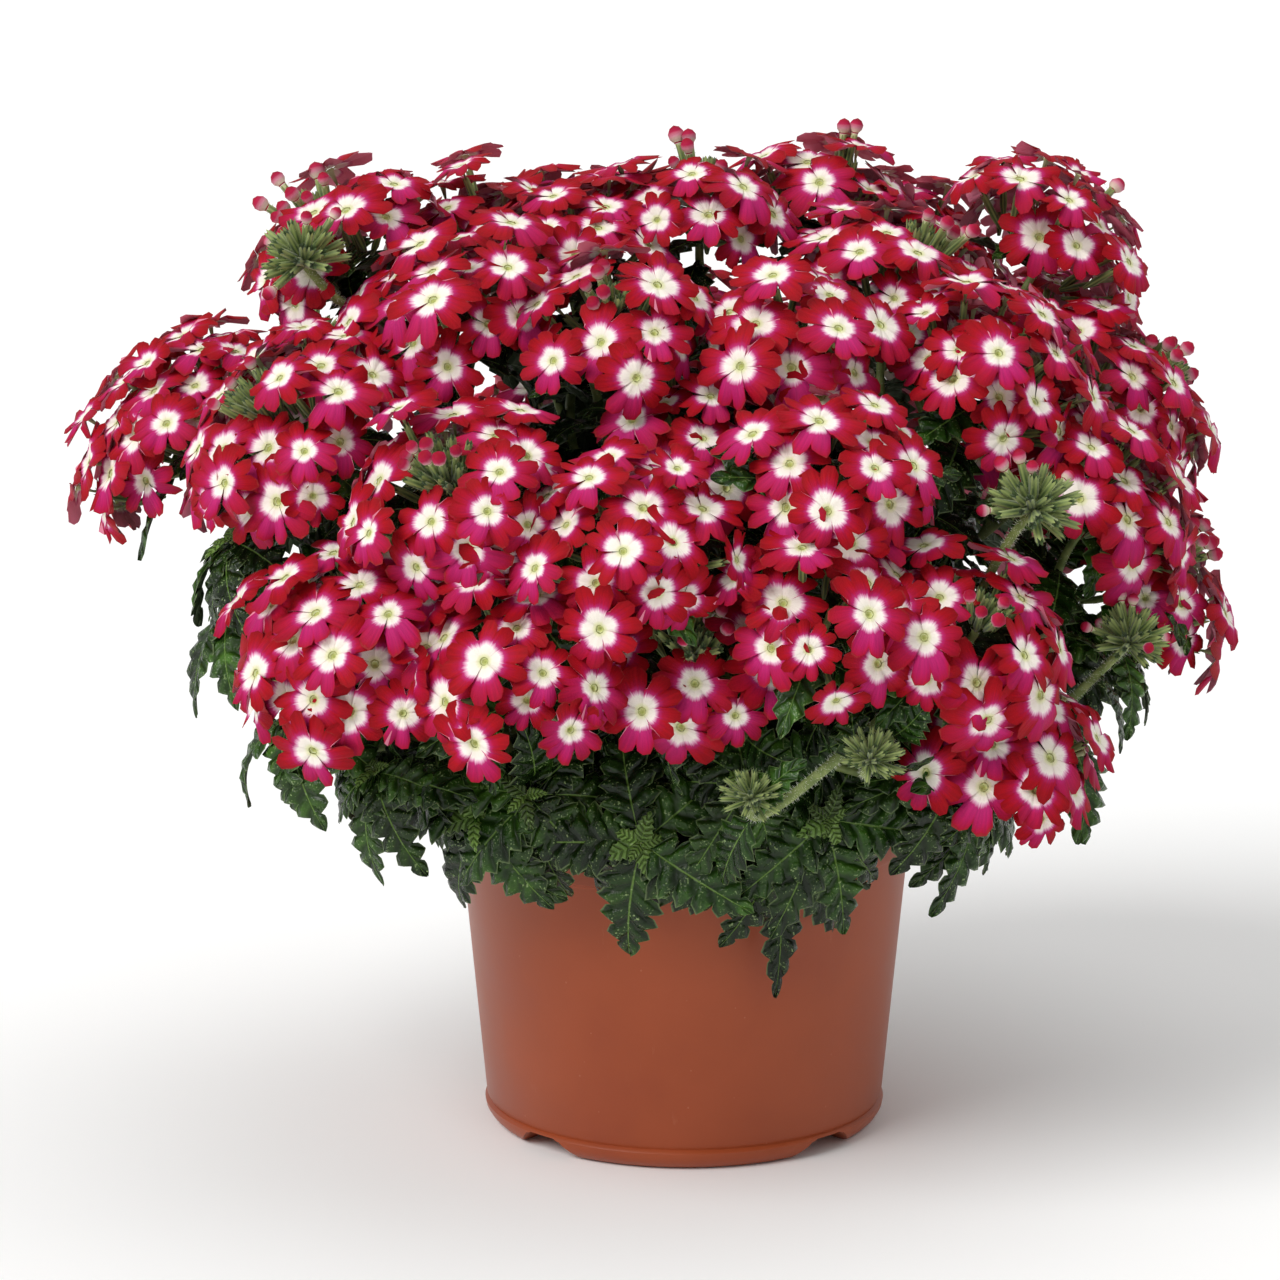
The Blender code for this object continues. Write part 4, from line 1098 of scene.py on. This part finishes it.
growth = {
    "trunkShares": (0.16, 0.27, 0.38, 0.50, 0.62, 0.74, 0.86), "forkShares": (0.30, 0.52, 0.74, 0.90),
    "budShares": (0.35, 0.68), "tipShares": (0.45, 0.75), "lift": (-0.15, 0.55),
    "canopyCentre": Vector((0.0, 0.0, 0.150)),
    "canopyHalf": Vector((0.150, 0.132, 0.112)),  # new leaves keep inside this round
    "tipLeaves": 7, "tipYoung": 6, "clusterCalyxes": 46, "clusterRadius": 0.0118,
    "ringLift": (-0.35, 0.30), "ringSizes": (0.75, 1.05),
    "clusterSpread": 1.75,  # radians from its axis to the lowest calyxes
    "clusterUpright": 0.45,  # how far a cluster's axis rights itself
    # More leafy shoots under the heads: degrees from the front, reach, height, size of their leaves.
    "shoots": [
        (-76, 126, 170, 1.0), (-84, 124, 150, 1.0), (-64, 118, 126, 1.05), (-98, 116, 146, 1.0),
        (-50, 108, 116, 1.0), (-28, 90, 112, 0.95), (10, 92, 118, 0.9), (19, 74, 94, 1.15),
        (44, 102, 118, 1.0), (60, 116, 124, 1.0), (73, 122, 142, 0.95), (84, 128, 160, 0.9),
        (104, 110, 136, 1.0), (128, 106, 130, 1.0), (152, 102, 126, 1.0), (180, 106, 130, 1.0),
        (206, 102, 124, 1.0), (232, 106, 132, 1.0), (252, 112, 136, 1.0),
    ],
    "fillers": [  # and short ones between the heads, where one would see through the plant
        (24, 58, 176, 1.0), (95, 70, 180, 1.0), (128, 88, 168, 1.05), (150, 70, 186, 1.0),
        (172, 88, 170, 1.05), (198, 64, 190, 1.0), (218, 92, 168, 1.05), (242, 78, 182, 1.0),
        (282, 62, 180, 1.0), (330, 56, 172, 0.9),
    ],
    "shootShare": 0.42, "flankRise": 1.0,
    "hangingFrom": 7,  # the shoot whose lowest leaf hangs down in front of the pot
    "hanging": {
        "along": Vector((0.10, -0.12, -0.99)).normalized(), "face": Vector((0.35, -0.93, 0.15)).normalized(),
        "length": 0.043, "width": 0.013, "bend": 0.55, "young": 0.0, "grade": 1, "tint": 0.0,
    },
}


def coverLine(places, radii, draw, line, shares, size=1.0):
    # Opposite pairs up a stem, each a quarter turn on, where their tips stay within the canopy
    # and out of the heads.
    leaves = []
    half = growth["canopyHalf"]
    quarter = draw.uniform(0, pi)
    for n, share in enumerate(shares):
        for hand in (0, 1):
            turn = quarter + pi * hand + pi / 2 * (n % 2) + draw.uniform(-0.25, 0.25)
            leaf = newLeaf(draw, line, share + draw.uniform(-0.03, 0.03), turn,
                           draw.uniform(*growth["lift"]), size * draw.uniform(0.8, 1.05))
            tip = leafTip(leaf)
            away = tip - growth["canopyCentre"]
            if sum((away[axis] / half[axis]) ** 2 for axis in range(3)) <= 1 and all(
                    (tip - place).length > radius * 0.8 for place, radius in zip(places, radii)):
                leaves.append(leaf)
    return leaves


def rosette(draw, line, count, young, reach=1.0, grade=1):
    # A ring of drooping leaves round a shoot's end, with small bright ones in the middle.
    leaves = []
    for k in range(count):
        turn = goldenAngle * k + draw.uniform(-0.2, 0.2)
        leaves.append(newLeaf(draw, line, 0.97 - 0.035 * (k % 3), turn, draw.uniform(*growth["ringLift"]),
                              reach * draw.uniform(*growth["ringSizes"]), (0.9, 1.45), 0.05, grade))
    for k in range(young):
        leaves.append(newLeaf(draw, line, 0.995, goldenAngle * k + 1.0, draw.uniform(0.45, 1.05),
                              0.20 + 0.035 * k, (0.8, 1.45), 0.95 - 0.09 * k))
    return leaves


def budCluster(name, place, shrink, pink, kit):
    # Calyxes round a point, ribbed and hairy, a few with a pink bud on its tube.
    draw = random.Random(name)
    turn = headAxis(place).lerp(upwards, growth["clusterUpright"]).to_track_quat("Z", "Y").to_matrix()
    radius = growth["clusterRadius"] * shrink
    greens, buds = [], []
    for ray in spiralRays(draw, growth["clusterCalyxes"], 0.0, growth["clusterSpread"], 0.12):
        way = (turn @ ray).normalized()
        facing = turnTo(way, draw.uniform(0, 6))
        spot = place + way * radius * draw.uniform(0.72, 1.06)
        greens.append(newSpot(draw, spot, facing, (shrink,) * 3, hairyKinds))
        if draw.random() < pink:
            bud = spot + way * headPlan["budLength"] * shrink
            buds.append(newSpot(draw, bud, facing, (shrink,) * 3, youngKinds))
    pieces = [growShapes(kit, "calyxes", name + "Calyxes", greens)]
    if buds:
        pieces.append(growShapes(kit, "corollas", name + "Buds", buds))
    return pieces


def buildStems(places, radii, kit, stemFinish):
    plan, steps = stemPlan, stemPlan["steps"]
    cover = partial(coverLine, places, radii)
    pairs = pairUp(places)
    corners = [cornersOf(f"leafy_stem_{k + 1:02d}") for k in range(len(pairs))]
    trunks, lines, leaves, extras, fits = [], [], [], [], []

    def branch(name, share, end, way, skin, draw=None):  # from the trunk that passes nearest
        k = min(range(len(trunks)), key=lambda k: (trunks[k].at(share) - end).length)
        lay = partial(sideStem, trunks[k], share, end, way)
        if draw:
            stem = lay(draw, 0)
        else:
            fit, (stem,) = bestLines(name, corners[k], plan["sideRadius"], lambda *tried: [lay(*tried)])
            fits.append(fit)
        lines[k].append((stem.skin(steps["side"]), *plan[skin]))
        return k, stem

    for k, pair in enumerate(pairs):
        fit, (trunk, *forks) = bestLines(f"trunk {k}", corners[k], plan["radius"],
                                         partial(mainStem, places, radii, pair))
        fits.append(fit)
        draw = random.Random(f"growth {k}")
        trunks.append(trunk)
        root = trunk.points[0] - upwards * (plan["holeDepth"] + plan["footRise"])
        lines.append([([root, *trunk.skin(steps["trunk"]), places[pair[0]]], *plan["trunk"])])
        leaves.append(cover(draw, trunk, growth["trunkShares"]))
        extras.append([])
        for fork, head in zip(forks, pair[1:]):
            lines[k].append(([*fork.skin(steps["trunk"]), places[head]], *plan["fork"]))
            leaves[k] += cover(draw, fork, growth["forkShares"], 0.9)
        for node, share in enumerate(plan["leafShares"]):
            for hand in (0, 1):
                turn = pi * hand + pi / 2 * (node % 2)
                leaves[k] += frameLeaf(f"stem_{k}_node_{node}_leaf_{hand}", trunk, share, share,
                                       turn, 0.35, 0.95, corners[k])
    for n, (spot, size, pink) in enumerate(plan["budPlaces"]):
        place = inMetres(spot)
        k, stem = branch(f"bud {n}", plan["budShare"], place, headAxis(place), "bud")
        extras[k] += budCluster(f"cluster{n}", place, size, pink, kit)
        leaves[k] += cover(random.Random(f"bud leaves {n}"), stem, growth["budShares"], 0.75)
    for n, tip in enumerate(plan["skirtTips"]):
        k, stem = branch(f"tip {n}", plan["tipShare"], skirtPlace(tip), skirtWay(tip), "shoot")
        draw = random.Random(f"tip leaves {n}")
        for leaf in range(5):
            turn = 2 * pi * (leaf + 0.35 * (n % 3)) / 5
            leaves[k] += frameLeaf(f"tip_{n}_leaf_{leaf}", stem, 0.97 - 0.05 * (leaf % 2), 0.95,
                                   turn, 0.30 - 0.25 * (leaf % 2), 1.0, corners[k])
        leaves[k] += rosette(draw, stem, growth["tipLeaves"] - 3, growth["tipYoung"])
        leaves[k] += cover(draw, stem, growth["tipShares"], 0.95)
    for n, (*tip, size) in enumerate(growth["shoots"] + growth["fillers"]):
        draw = random.Random(f"shoot {n}")
        end, way = skirtPlace(tip), skirtWay(tip, growth["flankRise"])
        k, stem = branch("", growth["shootShare"], end, way, "shoot", draw)
        inner = n >= len(growth["shoots"])
        counts = (growth["tipLeaves"] + 2, 0) if inner else (growth["tipLeaves"], growth["tipYoung"] - 2)
        leaves[k] += rosette(draw, stem, *counts, size, 0 if inner else 1)
        if n == growth["hangingFrom"]:
            leaves[k].append({"base": end, **growth["hanging"]})
        leaves[k] += cover(draw, stem, growth["tipShares"], 0.95)
    found = sum("young" not in leaf for own in leaves for leaf in own)
    print(f"stems: {len(pairs)}, widest misfit {max(fits) * 1000:.2f} mm; "
          f"leaves {sum(map(len, leaves))}, {found} from the frame")
    for k, own in enumerate(lines):
        skin = grown(f"skin{k}", stemLines(f"lines{k}", own), kit["stemTree"], {"Finish": stemFinish})
        blades = growShapes(kit, "leaves", f"blades{k}", leafSpots(leaves[k], random.Random(k)))
        piece = joined(f"leafy_stem_{k + 1:02d}_foliage", [skin, blades, *extras[k]])
        placePiece(piece, f"leafy_stem_{k + 1:02d}")


# Pot and soil

potShape = {
    "height": 0.094, "rimRadius": 0.065, "rimBand": 0.013, "bodyTopRadius": 0.0622,
    "bodyBaseRadius": 0.0552, "wall": 0.0014, "lip": 0.0005, "footHeight": 0.006, "footRadius": 0.0558,
    "footCurve": 0.0043, "footRing": 0.004, "feet": 4, "gapTop": 0.011, "gapBottom": 0.026,
    "gapReach": 0.020, "gapHeight": 0.0052, "gapRounding": 0.0009, "drains": 6, "drainRadius": 0.004,
    "drainRing": 0.036, "steps": 144,
}


def potProfile():  # (radius, height), up the inside and down the outside, with rounded lips
    s = potShape
    wall, lip, high, outer = s["wall"], s["lip"], s["height"], s["rimRadius"]
    top, base, foot, step = s["bodyTopRadius"], s["bodyBaseRadius"], s["footRadius"], s["footHeight"]
    inner, band, footTop = outer - wall, high - s["rimBand"], step - 0.0004
    footBase = foot - s["footCurve"]
    footInner = footBase - s["footRing"]
    floorTop = step + 0.0005
    floorUnder = floorTop - wall - 0.0005
    return [
        (0, floorTop), (base - wall - 0.002, floorTop), (base - wall, floorTop + 0.002),
        (top - wall, band - 0.0005), (inner, band + 0.001), (inner, high - lip),
        (inner + 0.3 * lip, high - 0.15 * lip), (inner + lip, high), (outer - lip, high),
        (outer - 0.15 * lip, high - 0.3 * lip), (outer, high - 1.4 * lip), (outer - 0.0001, band + 0.0008),
        (outer - 0.0004, band + 0.0001), (outer - 0.001, band - 0.0002), (top + 0.0006, band - 0.0006),
        (top, band - 0.0016), (base + 0.0001, step + 0.0010), (base - 0.0004, step + 0.0004),
        (base - 0.0005, step), (foot - 0.0004, footTop), (foot, footTop - 0.0005),
        (foot - 0.0003, 0.62 * footTop), (foot - 0.0012, 0.36 * footTop), (foot - 0.0025, 0.13 * footTop),
        (footBase, 0), (footInner, 0), (footInner - 0.001, floorUnder), (0, floorUnder),
    ]


def buildPot(finish):
    s = potShape
    bm = bmesh.new()
    addTube(bm, None, s["steps"], [(height, radius, 0) for radius, height in potProfile()])
    bmesh.ops.recalc_face_normals(bm, faces=bm.faces)
    pot = shapeObject(bm, "pot_shell")
    cutters = []
    for k in range(s["feet"]):
        bm = bmesh.new()
        bmesh.ops.create_cube(bm, size=1)
        for vertex in bm.verts:
            high = vertex.co.z > 0
            vertex.co.x = s["footRadius"] - s["footCurve"] + vertex.co.x * s["gapReach"]
            vertex.co.y *= s["gapTop"] if high else s["gapBottom"]
            vertex.co.z = s["gapHeight"] if high else -0.001
        upright = [e for e in bm.edges if abs(e.verts[0].co.z - e.verts[1].co.z) < 0.001
                   and e.verts[0].co.z > 0 and abs(e.verts[0].co.y - e.verts[1].co.y) < 0.001]
        bmesh.ops.bevel(bm, geom=upright, offset=s["gapRounding"], segments=3, affect="EDGES")
        angle = pi / 4 + k * 2 * pi / s["feet"]
        bmesh.ops.rotate(bm, verts=bm.verts, matrix=Matrix.Rotation(angle, 3, "Z"))
        cutters.append(shapeObject(bm, f"footGap{k}"))
    for k in range(s["drains"]):
        bm = bmesh.new()
        bmesh.ops.create_cone(bm, cap_ends=True, segments=32, depth=0.02,
                              radius1=s["drainRadius"], radius2=s["drainRadius"])
        place = onCircle(2 * pi * k / s["drains"]) * s["drainRing"]
        bmesh.ops.translate(bm, verts=bm.verts, vec=place + upwards * s["footHeight"])
        cutters.append(shapeObject(bm, f"drain{k}"))
    for cutter in cutters:
        modifier = pot.modifiers.new("Cut", "BOOLEAN")
        modifier.operation = "DIFFERENCE"
        modifier.solver = "EXACT"
        modifier.object = cutter
    settled(pot)
    for cutter in cutters:
        bpy.data.objects.remove(cutter, do_unlink=True)
    pot.data.set_sharp_from_angle(angle=radians(40))
    pot.data.materials.clear()
    pot.data.materials.append(finish)
    placePiece(pot, "pot")


soilShape = {
    "radius": 0.0605, "level": 0.0845, "mound": 0.0030, "rings": 46, "spokes": 110,
    "crumb": 0.0014, "depth": 0.018, "taper": 0.985,
}


def buildSoil(finish):
    s = soilShape
    bm = bmesh.new()
    rings = [[bm.verts.new((0, 0, s["level"]))]]
    for ring in range(1, s["rings"] + 1):
        share = ring / s["rings"]
        row = []
        for spoke in range(s["spokes"]):
            flat = onCircle(2 * pi * spoke / s["spokes"], s["radius"] * ring / s["rings"])
            height = s["level"] + s["mound"] * sin(pi * share * 0.75)
            height -= s["mound"] * max(0.0, share - 0.8) * 2.5
            rough = noise.noise(flat * 260) + 0.6 * noise.noise((flat + 3 * upwards) * 620)
            row.append(bm.verts.new((flat.x, flat.y, height + s["crumb"] * rough)))
        rings.append(row)
    rings.append([bm.verts.new((v.co.x * s["taper"], v.co.y * s["taper"], s["level"] - s["depth"]))
                  for v in rings[-1]])
    bridge(bm, rings)
    bm.faces.new(reversed(rings[-1])).smooth = True
    bmesh.ops.recalc_face_normals(bm, faces=bm.faces)
    soil = shapeObject(bm, "potting_soil_surface")
    soil.data.materials.append(finish)
    placePiece(soil, "potting_soil")


# The whole plant

def buildAll():
    setCamera()
    setStudio()
    print("camera, lamps and floor set")
    shapes = makeShapes()
    kit = {
        "spotTree": spotTree(), "stemTree": stemTree(),
        "corollas": (shapes["corollas"], newMaterial("verbena petal", verbenaPetal)),
        "calyxes": (shapes["calyxes"], newMaterial("ribbed calyx", ribbedCalyx)),
        "leaves": (shapes["leaves"], newMaterial("wrinkled verbena leaf", verbenaLeaf)),
    }
    print("shapes, trees and finishes made")
    buildPot(newMaterial("moulded terracotta polypropylene", terracottaPlastic))
    buildSoil(newMaterial("peat compost", pottingPeat))
    print("pot and soil built")
    places = headPlaces()
    radii = [headRadius(places, i) for i in range(len(places))]
    florets = sum(flowerHead(number, places, radii, kit) for number in range(1, len(places) + 1))
    print(f"flower heads built: {len(places)}, with {florets} florets and buds")
    buildStems(places, radii, kit, newMaterial("hairy green stem", greenStem))
    for collection in shapes.values():
        for obj in list(collection.objects):
            bpy.data.objects.remove(obj, do_unlink=True)
        bpy.data.collections.remove(collection)
    faces = sum(len(obj.data.loop_triangles) for obj in scene.objects if obj.type == "MESH"
                and not obj.data.calc_loop_triangles() and not obj.hide_render)
    print(f"triangles shown: {faces}")


buildAll()
